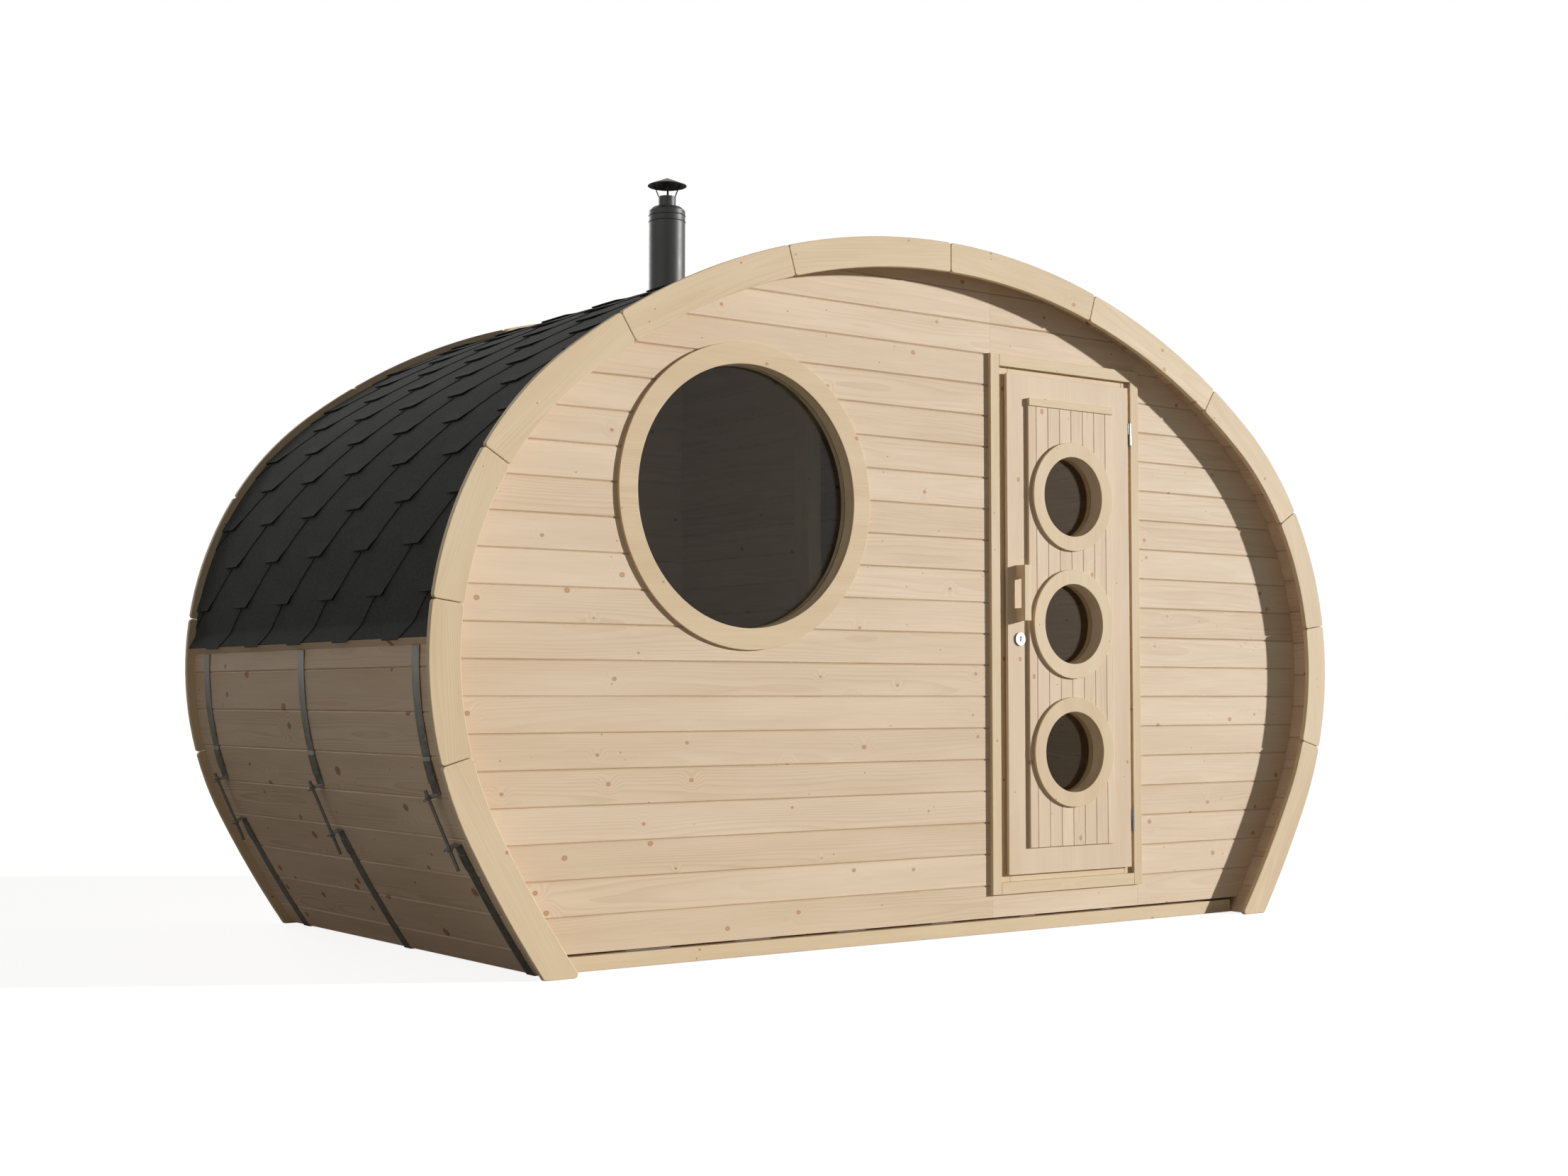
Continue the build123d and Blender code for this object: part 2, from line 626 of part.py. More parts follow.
def window():
    """Round fixed window: outer trim, glass and inner lining with its trim."""
    x, height = WINDOW_CENTRE_X, WINDOW_CENTRE_HEIGHT
    sight = WINDOW_SIGHT_DIAMETER / 2
    hole = WINDOW_HOLE_DIAMETER / 2 - WINDOW_FIT
    trim = WINDOW_TRIM_DIAMETER / 2
    glass_back = WALL_FRONT_Y + WINDOW_GLASS_THICKNESS
    save("window_trim_outside", hoop(x, height, trim, sight, WALL_FRONT_Y - WINDOW_TRIM_THICKNESS, WALL_FRONT_Y))
    save("window_glass", disc(x, height, hole, WALL_FRONT_Y, glass_back))
    lining = hoop(x, height, hole, sight, glass_back, WALL_INNER_Y)
    trim_back = WALL_INNER_Y + WINDOW_INNER_TRIM_THICKNESS
    save("window_lining", lining + hoop(x, height, trim, sight, WALL_INNER_Y, trim_back))


def door_surround():
    """Jambs in the wall, and the casing boards that cover the joint with the wall."""
    left, right, bottom, top = frame_hole()
    clear_left, clear_right, clear_bottom, clear_top = CLEAR_OPENING
    gap = FRAME_GAP
    depth = (WALL_FRONT_Y, WALL_INNER_Y)
    save("door_frame",
         block((left + gap, clear_left), depth, (bottom + gap, top - gap)),
         block((clear_right, right - gap), depth, (bottom + gap, top - gap)),
         block((clear_left + gap, clear_right - gap), depth, (clear_top, top - gap)),
         block((clear_left + gap, clear_right - gap), depth, (bottom + gap, clear_bottom)))
    inner_left, inner_right, inner_bottom, inner_top = CASING_INNER
    depth = (CASING_FACE_Y, WALL_FRONT_Y)
    wide = CASING_WIDTH
    save("door_casing",
         block((inner_left - wide, inner_left), depth, (inner_bottom - wide, inner_top + wide)),
         block((inner_right, inner_right + wide), depth, (inner_bottom - wide, inner_top + wide)),
         block((inner_left + gap, inner_right - gap), depth, (inner_top, inner_top + wide)),
         block((inner_left + gap, inner_right - gap), depth, (inner_bottom - wide, inner_bottom)))


def porthole_heights():
    """Levels of the porthole centres."""
    return [PORTHOLE_LOWEST_HEIGHT + index * PORTHOLE_SPACING for index in range(PORTHOLE_COUNT)]


def porthole_cutters(radius, front_y, back_y):
    """Round cutters through the door at each porthole."""
    return [disc(LEAF_CENTRE_X, height, radius, front_y, back_y) for height in porthole_heights()]


def door_leaf():
    """Lipped door leaf with a hole and a glass rebate at each porthole."""
    lip = block((LEAF_LEFT, LEAF_RIGHT), (LEAF_FACE_Y, LEAF_BACK_Y), (LEAF_BOTTOM_HEIGHT, LEAF_TOP_HEIGHT))
    left, right, bottom, top = CLEAR_OPENING
    slack = LEAF_CLEARANCE
    core_x = (left + LATCH_CORE_CLEARANCE, right - slack)
    core = block(core_x, (LEAF_BACK_Y, CORE_BACK_Y), (bottom + slack, top - slack))
    leaf = lip + core
    leaf = leaf - porthole_cutters(PORTHOLE_DIAMETER / 2, LEAF_FACE_Y, CORE_BACK_Y)
    glass_y = LEAF_FACE_Y + PORTHOLE_GLASS_DEPTH
    rebate = PORTHOLE_DIAMETER / 2 + PORTHOLE_GLASS_REBATE
    leaf = leaf - porthole_cutters(rebate, glass_y, CORE_BACK_Y)
    save("door_leaf", leaf)


def door_panel():
    """Upright boards on the leaf, under a lath, with the porthole rings let through them."""
    left = LEAF_CENTRE_X - PANEL_WIDTH / 2
    right = LEAF_CENTRE_X + PANEL_WIDTH / 2
    bottom = LEAF_BOTTOM_HEIGHT + PANEL_BOTTOM_RAIL
    top = bottom + PANEL_HEIGHT
    inner_boards = int(PANEL_WIDTH / PANEL_BOARD_COVER / 2) * 2
    middle_joints = [LEAF_CENTRE_X + (index - inner_boards / 2) * PANEL_BOARD_COVER
                     for index in range(inner_boards + 1)]
    edges = [left] + middle_joints + [right]
    holes = porthole_cutters(PORTHOLE_DIAMETER / 2, PANEL_FACE_Y, LEAF_FACE_Y)
    boards = []
    for index, (edge_a, edge_b) in enumerate(zip(edges, edges[1:])):
        gap_a = 0.0 if index == 0 else PANEL_BOARD_GAP / 2
        gap_b = 0.0 if index == len(edges) - 2 else PANEL_BOARD_GAP / 2
        board = block((edge_a + gap_a, edge_b - gap_b), (PANEL_FACE_Y, LEAF_FACE_Y), (bottom, top))
        boards.append(board - holes)
    save("door_panel", *boards)
    lath_y = (LEAF_FACE_Y - PANEL_LATH_THICKNESS, LEAF_FACE_Y)
    save("door_panel_lath", block((left, right), lath_y, (top + FRAME_GAP, top + PANEL_LATH_HEIGHT)))


def portholes():
    """Trim rings outside and inside the leaf, and the glass in its rebate."""
    outer = PORTHOLE_RING_DIAMETER / 2
    sight = PORTHOLE_DIAMETER / 2
    ring_front = PANEL_FACE_Y - PORTHOLE_RING_THICKNESS
    glass_y = LEAF_FACE_Y + PORTHOLE_GLASS_DEPTH
    glass = sight + PORTHOLE_GLASS_REBATE - PORTHOLE_FIT
    ring_back = CORE_BACK_Y + PORTHOLE_INNER_RING_THICKNESS
    heights = porthole_heights()
    x = LEAF_CENTRE_X
    save("porthole_rings_outside", *[hoop(x, z, outer, sight, ring_front, PANEL_FACE_Y) for z in heights])
    save("porthole_glass", *[disc(x, z, glass, glass_y, glass_y + PORTHOLE_GLASS_THICKNESS) for z in heights])
    stop_front = glass_y + PORTHOLE_GLASS_THICKNESS
    rings = []
    for z in heights:
        stop = hoop(x, z, glass, sight, stop_front, CORE_BACK_Y)
        rings.append(stop + hoop(x, z, outer, sight, CORE_BACK_Y, ring_back))
    save("porthole_rings_inside", *rings)


def handle_at(face_y, outward):
    """Wooden pull handle standing off a face of the leaf, outward being -1 or 1 along Y."""
    x = LEAF_LEFT + HANDLE_EDGE_DISTANCE
    tip_y = face_y + outward * HANDLE_STANDOFF
    y_range = sorted((face_y, tip_y))
    low = HANDLE_CENTRE_HEIGHT - HANDLE_HEIGHT / 2
    high = HANDLE_CENTRE_HEIGHT + HANDLE_HEIGHT / 2
    sides = (x - HANDLE_WIDTH / 2, x + HANDLE_WIDTH / 2)
    bar = block(sides, y_range, (low, high))
    front_edges = bar.edges().filter_by(Axis.Z).group_by(Axis.Y)[0 if outward < 0 else -1]
    bar = fillet(front_edges, HANDLE_EDGE_RADIUS)
    gap_tip = face_y + outward * (HANDLE_STANDOFF - HANDLE_GRIP_THICKNESS)
    gap_y = sorted((face_y, gap_tip))
    return bar - block(sides, gap_y, (low + HANDLE_BLOCK_HEIGHT, high - HANDLE_BLOCK_HEIGHT))


def lock():
    """Round lock rose with a keyhole."""
    x = LEAF_LEFT + HANDLE_EDGE_DISTANCE
    rose = disc(x, LOCK_HEIGHT, LOCK_DIAMETER / 2, LEAF_FACE_Y - LOCK_THICKNESS, LEAF_FACE_Y)
    eye = Pos(x, LOCK_HEIGHT + KEYHOLE_DIAMETER / 2) * Circle(KEYHOLE_DIAMETER / 2)
    slot = Pos(x, LOCK_HEIGHT) * Rectangle(KEYHOLE_SLOT_WIDTH, KEYHOLE_SLOT_HEIGHT)
    keyhole = plate(eye + slot, LEAF_FACE_Y - LOCK_THICKNESS, LEAF_FACE_Y - LOCK_THICKNESS / 2)
    return rose - keyhole


def upright_tube(outer, inner, low, high):
    """Knuckle on the hinge line; an inner radius of zero leaves it solid."""
    length = high - low
    tube = Pos(HINGE_X, HINGE_Y, (low + high) / 2) * Cylinder(outer, length)
    if inner > 0:
        tube = tube - Pos(HINGE_X, HINGE_Y, (low + high) / 2) * Cylinder(inner, length)
    return tube


def hinges():
    """Lift-off hinges: the lower knuckle and pin on the frame, the upper one on the leaf."""
    knuckle = HINGE_KNUCKLE_DIAMETER / 2
    pin = HINGE_PIN_DIAMETER / 2
    plate_y = (HINGE_Y, HINGE_Y + HINGE_PLATE_DEPTH)
    arm_y = (HINGE_Y - HINGE_ARM_THICKNESS / 2, HINGE_Y + HINGE_ARM_THICKNESS / 2)
    frame_pieces = []
    leaf_pieces = []
    for middle in HINGE_HEIGHTS:
        low = middle - HINGE_LENGTH / 2
        high = middle + HINGE_LENGTH / 2
        split_low = middle - HINGE_KNUCKLE_GAP / 2
        split_high = middle + HINGE_KNUCKLE_GAP / 2
        frame_edge = LEAF_RIGHT + HINGE_GAP
        frame_plate = block((frame_edge - HINGE_PLATE_THICKNESS, frame_edge), plate_y, (low, split_low))
        frame_arm = block((HINGE_X, frame_edge), arm_y, (low, split_low))
        post = upright_tube(knuckle, 0, low, split_low) + upright_tube(pin, 0, low, high - HINGE_PIN_DIAMETER)
        frame_pieces.append(post + frame_arm + frame_plate)
        leaf_plate = block((LEAF_RIGHT, LEAF_RIGHT + HINGE_PLATE_THICKNESS), plate_y, (split_high, high))
        leaf_arm = block((LEAF_RIGHT, HINGE_X), arm_y, (split_high, high))
        bore = upright_tube(pin + HINGE_PIN_CLEARANCE, 0, split_high, high - HINGE_PIN_DIAMETER + HINGE_KNUCKLE_GAP)
        leaf_pieces.append(upright_tube(knuckle, 0, split_high, high) + leaf_arm + leaf_plate - bore)
    save("hinge_frame_halves", *frame_pieces)
    save("hinge_leaf_halves", *leaf_pieces)


def strap_line(side, stations, above_staves):
    """Edges of a strap's section through stations of height and lift off the staves."""
    edges = []
    for (height_a, lift_a), (height_b, lift_b) in zip(stations, stations[1:]):
        turn_a, turn_b = [turn_at_height(height, RING_LIP) for height in (height_a, height_b)]
        inset_a, inset_b = [RING_LIP - lift - above_staves for lift in (lift_a, lift_b)]
        if lift_a == lift_b:
            edges += oval_edges(turn_a, turn_b, inset_a, side)
        else:
            edges.append(Line(oval_point(turn_a, inset_a, side), oval_point(turn_b, inset_b, side)))
    return edges


def strap(side, stations, thickness, width, y):
    """Strap bent over the staves, lifted off them where a station says so."""
    edges = strap_line(side, stations, 0.0) + strap_line(side, stations, thickness)
    for height, lift in (stations[0], stations[-1]):
        turn = turn_at_height(height, RING_LIP)
        ends = [oval_point(turn, RING_LIP - lift - level, side) for level in (0.0, thickness)]
        edges.append(Line(*ends))
    return plate(make_face(Wire(edges)), y - width / 2, y + width / 2)


def rod_line(side, y):
    """Points where a tension rod passes its two tabs, and its direction downwards."""
    points = []
    for height in (UPPER_BRACKET_HEIGHTS[1], LOWER_BRACKET_HEIGHTS[1]):
        x, z = oval_point(turn_at_height(height, RING_LIP), RING_LIP - ROD_STANDOFF, side)
        points.append(Vector(x, y, z))
    upper, lower = points
    direction = (lower - upper).normalized()
    return upper, lower, direction


def tab(side, at_upper, y):
    """Plate square to the rod that stands out from a bracket, with a rounded tip and the rod's hole."""
    upper, lower, direction = rod_line(side, y)
    middle = upper if at_upper else lower
    outward = Vector(-direction.Z * side, 0, direction.X * side)
    across = Plane(origin=middle, x_dir=outward, z_dir=direction if at_upper else -direction)
    root = Pos(-ROD_STANDOFF) * Rectangle(BRACKET_THICKNESS, BRACKET_WIDTH, align=(Align.MIN, Align.CENTER))
    tip = Pos(TAB_REACH - ROD_STANDOFF - TAB_TIP_RADIUS) * Circle(TAB_TIP_RADIUS)
    outline = make_hull(root.edges() + tip.edges()) - Circle(ROD_DIAMETER / 2 + ROD_CLEARANCE)
    return extrude(across * outline, amount=BRACKET_THICKNESS)


def bracket(side, at_upper, y):
    """Plate under the end of a strap that turns outwards into a tab."""
    far, near = UPPER_BRACKET_HEIGHTS if at_upper else LOWER_BRACKET_HEIGHTS
    body = strap(side, ((far, 0.0), (near, 0.0)), BRACKET_THICKNESS, BRACKET_WIDTH, y)
    return body + tab(side, at_upper, y)


def brackets(side):
    """Upper and lower brackets of one side at every band."""
    return [bracket(side, at_upper, y) for y in BAND_DEPTHS for at_upper in (True, False)]


def upper_bands(side):
    """Straps from the eaves down over the upper brackets."""
    start = BATTEN_FOOT_HEIGHT - FRAME_GAP
    rise = UPPER_BRACKET_HEIGHTS[0]
    stations = ((start, 0.0), (rise + BAND_JOGGLE, 0.0), (rise, BRACKET_THICKNESS),
                (BAND_UPPER_END_HEIGHT, BRACKET_THICKNESS))
    return [strap(side, stations, BAND_THICKNESS, BAND_WIDTH, y) for y in BAND_DEPTHS]


def lower_bands():
    """Straps from the brackets on one side, under the floor, to those on the other."""
    low = BASE_LIFT - BAND_THICKNESS
    rise = LOWER_BRACKET_HEIGHTS[0]
    stations = ((BAND_LOWER_END_HEIGHT, BRACKET_THICKNESS), (rise, BRACKET_THICKNESS),
                (rise - BAND_JOGGLE, 0.0), (-BAND_WIDTH, 0.0))
    edge = oval_point(turn_at_height(low, RING_LIP), RING_LIP)[0]
    pieces = []
    for y in BAND_DEPTHS:
        depth = (y - BAND_WIDTH / 2, y + BAND_WIDTH / 2)
        band = block((-edge, edge), depth, (low, BASE_LIFT))
        for side in (-1, 1):
            leg = strap(side, stations, BAND_THICKNESS, BAND_WIDTH, y)
            band = band + (leg & block((-HALF_WIDTH, HALF_WIDTH), depth, (low, EQUATOR_HEIGHT)))
        pieces.append(band)
    return pieces


def along_rod(side, y, from_lower, offset, shape):
    """Place a shape, modelled upwards from its own origin, on the line of a rod."""
    upper, lower, direction = rod_line(side, y)
    start = lower if from_lower else upper
    return Plane(origin=start + direction * offset, z_dir=direction) * shape


def tension_rods(side):
    """Threaded rods with a nut outside each tab."""
    pieces = []
    nut = extrude(RegularPolygon(NUT_ACROSS_FLATS / 2, 6, major_radius=False), amount=NUT_THICKNESS)
    for y in BAND_DEPTHS:
        upper, lower, _ = rod_line(side, y)
        length = (upper - lower).length + ROD_TOP_OVERHANG + ROD_BOTTOM_OVERHANG
        stem = Cylinder(ROD_DIAMETER / 2, length, align=(Align.CENTER, Align.CENTER, Align.MIN))
        rod = along_rod(side, y, False, -ROD_TOP_OVERHANG, stem)
        rod = rod + along_rod(side, y, False, -NUT_GAP - NUT_THICKNESS, nut)
        rod = rod + along_rod(side, y, True, NUT_GAP, nut)
        pieces.append(rod)
    return pieces


def turned(profile):
    """Solid of revolution about the chimney's axis, from radius and height pairs."""
    face = Plane.XZ * make_face(Polyline(*profile, close=True))
    return Pos(CHIMNEY_X, CHIMNEY_Y, 0) * revolve(face, axis=Axis.Z)


def ceiling_height():
    """Underside of the crown staves where the chimney passes."""
    return CROWN_CENTRE_HEIGHT + math.sqrt((CROWN_RADIUS - STAVE_INNER) ** 2 - CHIMNEY_X**2)


def chimney():
    """Outer pipe with two beads and a shoulder, the flue inside it and the rain cap."""
    outer = CHIMNEY_DIAMETER / 2
    inner = outer - CHIMNEY_WALL
    flue = FLUE_DIAMETER / 2
    bottom = ceiling_height() - CHIMNEY_BOTTOM_DROP
    shoulder = CHIMNEY_SHOULDER_RADIUS
    neck = flue + FLUE_FIT
    profile = [(inner, bottom), (outer, bottom), (outer, CHIMNEY_TOP_HEIGHT - shoulder),
               (outer - shoulder, CHIMNEY_TOP_HEIGHT), (neck, CHIMNEY_TOP_HEIGHT),
               (neck, CHIMNEY_TOP_HEIGHT - CHIMNEY_WALL), (inner - shoulder, CHIMNEY_TOP_HEIGHT - CHIMNEY_WALL),
               (inner, CHIMNEY_TOP_HEIGHT - CHIMNEY_WALL - shoulder)]
    pipe = turned(profile)
    for drop in CHIMNEY_BEAD_DROPS:
        bead = Torus(outer, CHIMNEY_BEAD_RADIUS)
        hollow = Cylinder(inner + CHIMNEY_WALL / 2, 4 * CHIMNEY_BEAD_RADIUS)
        pipe = pipe + Pos(CHIMNEY_X, CHIMNEY_Y, CHIMNEY_TOP_HEIGHT - drop) * (bead - hollow)
    save("chimney_pipe", pipe)
    flue_inner = flue - FLUE_WALL
    save("chimney_flue", turned([(flue_inner, bottom), (flue, bottom), (flue, FLUE_TOP_HEIGHT),
                                 (flue_inner, FLUE_TOP_HEIGHT)]))


def rain_cap():
    """Low cone on splayed struts that stand on the flue."""
    rim = CAP_DIAMETER / 2
    peak = CAP_RIM_HEIGHT + CAP_PEAK_RISE
    cone = turned([(0, peak), (rim, CAP_RIM_HEIGHT), (rim, CAP_RIM_HEIGHT - CAP_THICKNESS),
                   (0, peak - CAP_THICKNESS)])
    foot = FLUE_DIAMETER / 2 + CAP_STRUT_THICKNESS / 2
    head = foot + CAP_STRUT_SPLAY
    head_height = peak - CAP_PEAK_RISE * head / rim - CAP_THICKNESS / 2
    half = CAP_STRUT_THICKNESS / 2
    strut_face = make_face(Polyline(
        (foot - half, FLUE_TOP_HEIGHT - CAP_STRUT_LAP), (foot + half, FLUE_TOP_HEIGHT - CAP_STRUT_LAP),
        (foot + half, FLUE_TOP_HEIGHT), (head + half, head_height), (head - half, head_height),
        (foot - half, FLUE_TOP_HEIGHT), close=True))
    strut = extrude(Plane.XZ * strut_face, amount=CAP_STRUT_WIDTH / 2, both=True)
    cap = cone
    for index in range(CAP_STRUT_COUNT):
        angle = 360 / CAP_STRUT_COUNT * index
        cap = cap + Pos(CHIMNEY_X, CHIMNEY_Y, 0) * Rot(0, 0, angle) * strut
    save("rain_cap", cap)


def chimney_flashing():
    """Curved plate on the roof covering, with a collar round the pipe."""
    inset = RING_LIP - COVERING_BUTT - FLASHING_LIFT
    radius = CROWN_RADIUS - inset
    half = FLASHING_WIDTH / 2 / radius
    middle = math.asin(-CHIMNEY_X / radius)
    turns = (middle - half, middle + half)
    face = oval_strip(turns, turns, inset - FLASHING_THICKNESS, inset, -1)
    base = plate(face, CHIMNEY_Y - FLASHING_LENGTH / 2, CHIMNEY_Y + FLASHING_LENGTH / 2)
    pipe = CHIMNEY_DIAMETER / 2 + FLUE_FIT
    top = CROWN_CENTRE_HEIGHT + radius * math.cos(middle) + FLASHING_COLLAR_HEIGHT
    bottom = top - 2 * FLASHING_COLLAR_HEIGHT
    sleeve = pipe + FLASHING_THICKNESS
    collar = turned([(pipe, bottom), (sleeve, bottom), (sleeve, top), (pipe, top)])
    roof = plate(oval_strip(turns, turns, inset, inset + 2 * FLASHING_COLLAR_HEIGHT, -1),
                 CHIMNEY_Y - FLASHING_LENGTH / 2, CHIMNEY_Y + FLASHING_LENGTH / 2)
    hole = Pos(CHIMNEY_X, CHIMNEY_Y, BARREL_HEIGHT) * Cylinder(pipe, BARREL_HEIGHT)
    save("chimney_flashing", (base - hole) + (collar - roof))


def main():
    os.makedirs("parts", exist_ok=True)
    rear_ring_y = -RING_FRONT_Y - RING_THICKNESS
    for end, front_y in (("front", RING_FRONT_Y), ("rear", rear_ring_y)):
        save(end + "_ring", *half_ring(-1, front_y), *half_ring(1, front_y))
    for name, side in (("left", -1), ("right", 1)):
        save("staves_" + name + "_side", *staves((side,), eaves_stave(), stave_count()))
        save("staves_" + name + "_shoulder", *staves((side,), SHOULDER_STAVE_FIRST, eaves_stave() - 1))
    save("staves_crown", *crown_staves())
    save("eaves_battens", *eaves_battens())
    save("roof_covering", *roof_covering(-1), ridge_strip(), *roof_covering(1))
    save("tension_bands_upper", *upper_bands(-1), *upper_bands(1))
    save("tension_bands_lower", *lower_bands())
    save("tension_brackets", *brackets(-1), *brackets(1))
    save("tension_rods", *tension_rods(-1), *tension_rods(1))
    front_wall()
    save("rear_wall", wall_part((-HALF_WIDTH, HALF_WIDTH), (0.0, BARREL_HEIGHT), -WALL_INNER_Y))
    floor()
    partition()
    window()
    door_surround()
    door_leaf()
    door_panel()
    portholes()
    save("door_handle", handle_at(LEAF_FACE_Y, -1))
    save("door_handle_inside", handle_at(CORE_BACK_Y, 1))
    save("door_lock", lock())
    hinges()
    chimney()
    rain_cap()
    chimney_flashing()


main()
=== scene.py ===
import json
import math
import random

import bmesh
import bpy
import numpy as np
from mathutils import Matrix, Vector


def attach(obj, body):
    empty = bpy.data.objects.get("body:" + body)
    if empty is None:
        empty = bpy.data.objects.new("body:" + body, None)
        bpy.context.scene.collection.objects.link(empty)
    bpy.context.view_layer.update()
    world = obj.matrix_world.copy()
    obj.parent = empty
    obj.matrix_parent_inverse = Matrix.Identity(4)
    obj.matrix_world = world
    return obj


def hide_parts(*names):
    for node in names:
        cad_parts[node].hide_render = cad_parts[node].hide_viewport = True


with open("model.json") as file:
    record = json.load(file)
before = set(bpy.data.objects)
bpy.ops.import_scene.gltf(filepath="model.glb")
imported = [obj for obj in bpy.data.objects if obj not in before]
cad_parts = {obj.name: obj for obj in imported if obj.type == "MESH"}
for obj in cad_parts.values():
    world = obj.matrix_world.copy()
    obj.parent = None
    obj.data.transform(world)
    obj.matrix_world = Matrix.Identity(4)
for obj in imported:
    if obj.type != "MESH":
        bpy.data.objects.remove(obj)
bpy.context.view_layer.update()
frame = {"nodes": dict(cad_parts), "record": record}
nodes = frame["nodes"]
body_of_node = {node: body for body, held in frame["record"]["behaviour"]["bodies"].items() for node in held}
slot_of_node = {part["node"]: part["material_slot"] for part in frame["record"]["subparts"]}

MM = 0.001

# Turns between faces, in degrees: flat, shaded as one round surface, eased as an arris, the corner of a board
FLAT_TURN = 0.4
SMOOTH_TURN = 17
ARRIS_TURN = 40
CORNER_TURN = 60

# Points this close are one point, and ends this close lie at one depth
WELD = 0.02 * MM
SAME_DEPTH = 0.1 * MM

# Where a board may lie in its log: along it, beside the pith and above it, in metres
LOG_RUN = (0, 60)
LOG_SIDE = (-0.045, 0.045)
LOG_RISE = (0.035, 0.11)

# Size of the pattern of planed spruce
KNOT_CELL = 250 * MM
KNOT_LEAST = 2 * MM
KNOT_SHARE = 0.75
PIN_KNOT_CELL = 75 * MM
PIN_KNOT = (1.8 * MM, 3.6 * MM)
RING_GAP = 5 * MM
RING_SWAY = 34 * MM

# Outline of the staves, as the CAD has it: a crown arc that runs into a side arc
CROWN_RADIUS = 2481.1 * MM
CROWN_CENTRE_Z = -81.1 * MM
CROWN_TURN = math.radians(37.92)
SIDE_RADIUS = 1155.0 * MM
SIDE_CENTRE_X = 815.0 * MM
SIDE_CENTRE_Z = 965.0 * MM
STAVE_END_Y = 954.0 * MM

# Hexagonal shingles
COURSE_EXPOSURE = 154.0 * MM
TAB_PITCH = 357.0 * MM
TAB_FLAT = 103.0 * MM
SHINGLE_THICKNESS = 2.4 * MM
SHINGLE_HEIGHT = 2.08 * COURSE_EXPOSURE
EAVES_BUTT_RUN = 2654.5 * MM
SECOND_BUTT_RUN = 2506.0 * MM
COURSE_COUNT = 17
EVEN_TAB_MIDDLE = 4.0 * MM
ODD_TAB_MIDDLE = -173.0 * MM
STARTER_EDGE_RUN = 2646.0 * MM
FLARE_RUN = 2581.1 * MM
FLARE_RADIUS = 60.0 * MM
FLARE_TURN = math.radians(23.4)
LAP_SLACK = 0.1 * MM
TAB_CURL = 5.0 * MM
CURL_REACH = 45.0 * MM
CURLED_FROM_RUN = 330.0 * MM
CURL_UNDERSIDE_SHARE = 0.55
TORN_EDGE_STEP = 11.0 * MM
TORN_EDGE_DEPTH = 1.6 * MM
BEND_STEP = 38.5 * MM
FLARE_STEP = 9.0 * MM
RIDGE_CAP_REACH = 88.0 * MM
RIDGE_CAP_EXPOSURE = 146.0 * MM
RIDGE_CAP_UNEVENNESS = 2 * MM
RIDGE_CAP_LIFT = 3.1 * SHINGLE_THICKNESS

# Depths of the window: the CAD's, and those that the photograph shows
WINDOW_TRIM_FACE = (-904.0 * MM, -888.0 * MM)
WINDOW_GLASS_FACE = (-876.0 * MM, -840.0 * MM)
WINDOW_GLASS_BACK = (-870.0 * MM, -834.2 * MM)
WINDOW_LINING_FACE = (-870.0 * MM, -875.9 * MM)
WINDOW_GLASS_MIDDLE = (-802.0 * MM, 1500.0 * MM)
WINDOW_GLASS_SHARE = 433.6 / 445.0

# Hole in the covering, hidden by the flashing
CHIMNEY_RUN = 205.0 * MM
CHIMNEY_Y = 522.0 * MM
CHIMNEY_HOLE_HALF = 78.0 * MM

# The photograph's camera, in metres, and the studio
CAMERA_PLACE = (-4.6715, -6.2818, 0.8434)
CAMERA_LOOKS = (0.5955, 0.8016, 0.0533)
CAMERA_LENS = 46.73
CAMERA_SENSOR = 36.0
FLOOR_REACH = 60.0
FLOOR_GLOW = 0.85
AMBIENT = 0.1


def colour(written):
    """Linear colour from an sRGB hex value."""
    channels = []
    for shift in (16, 8, 0):
        value = (written >> shift & 255) / 255
        channels.append(value / 12.92 if value <= 0.04045 else ((value + 0.055) / 1.055) ** 2.4)
    return (*channels, 1.0)


def add(material, kind, inputs=None, **settings):
    """Adds a node with its settings; an input takes a value or another node's output."""
    tree = material.node_tree
    node = tree.nodes.new(kind)
    for name, value in settings.items():
        setattr(node, name, value)
    for name, value in (inputs or {}).items():
        if isinstance(value, bpy.types.NodeSocket):
            tree.links.new(value, node.inputs[name])
        else:
            node.inputs[name].default_value = value
    return node


def new_material(name):
    """Empty procedural material and its surface shader."""
    material = bpy.data.materials.new(name)
    material.use_nodes = True
    material.node_tree.nodes.clear()
    shader = add(material, "ShaderNodeBsdfPrincipled")
    add(material, "ShaderNodeOutputMaterial", {"Surface": shader.outputs[0]})
    return material, shader


def connect(material, output, shader, name):
    material.node_tree.links.new(output, shader.inputs[name])


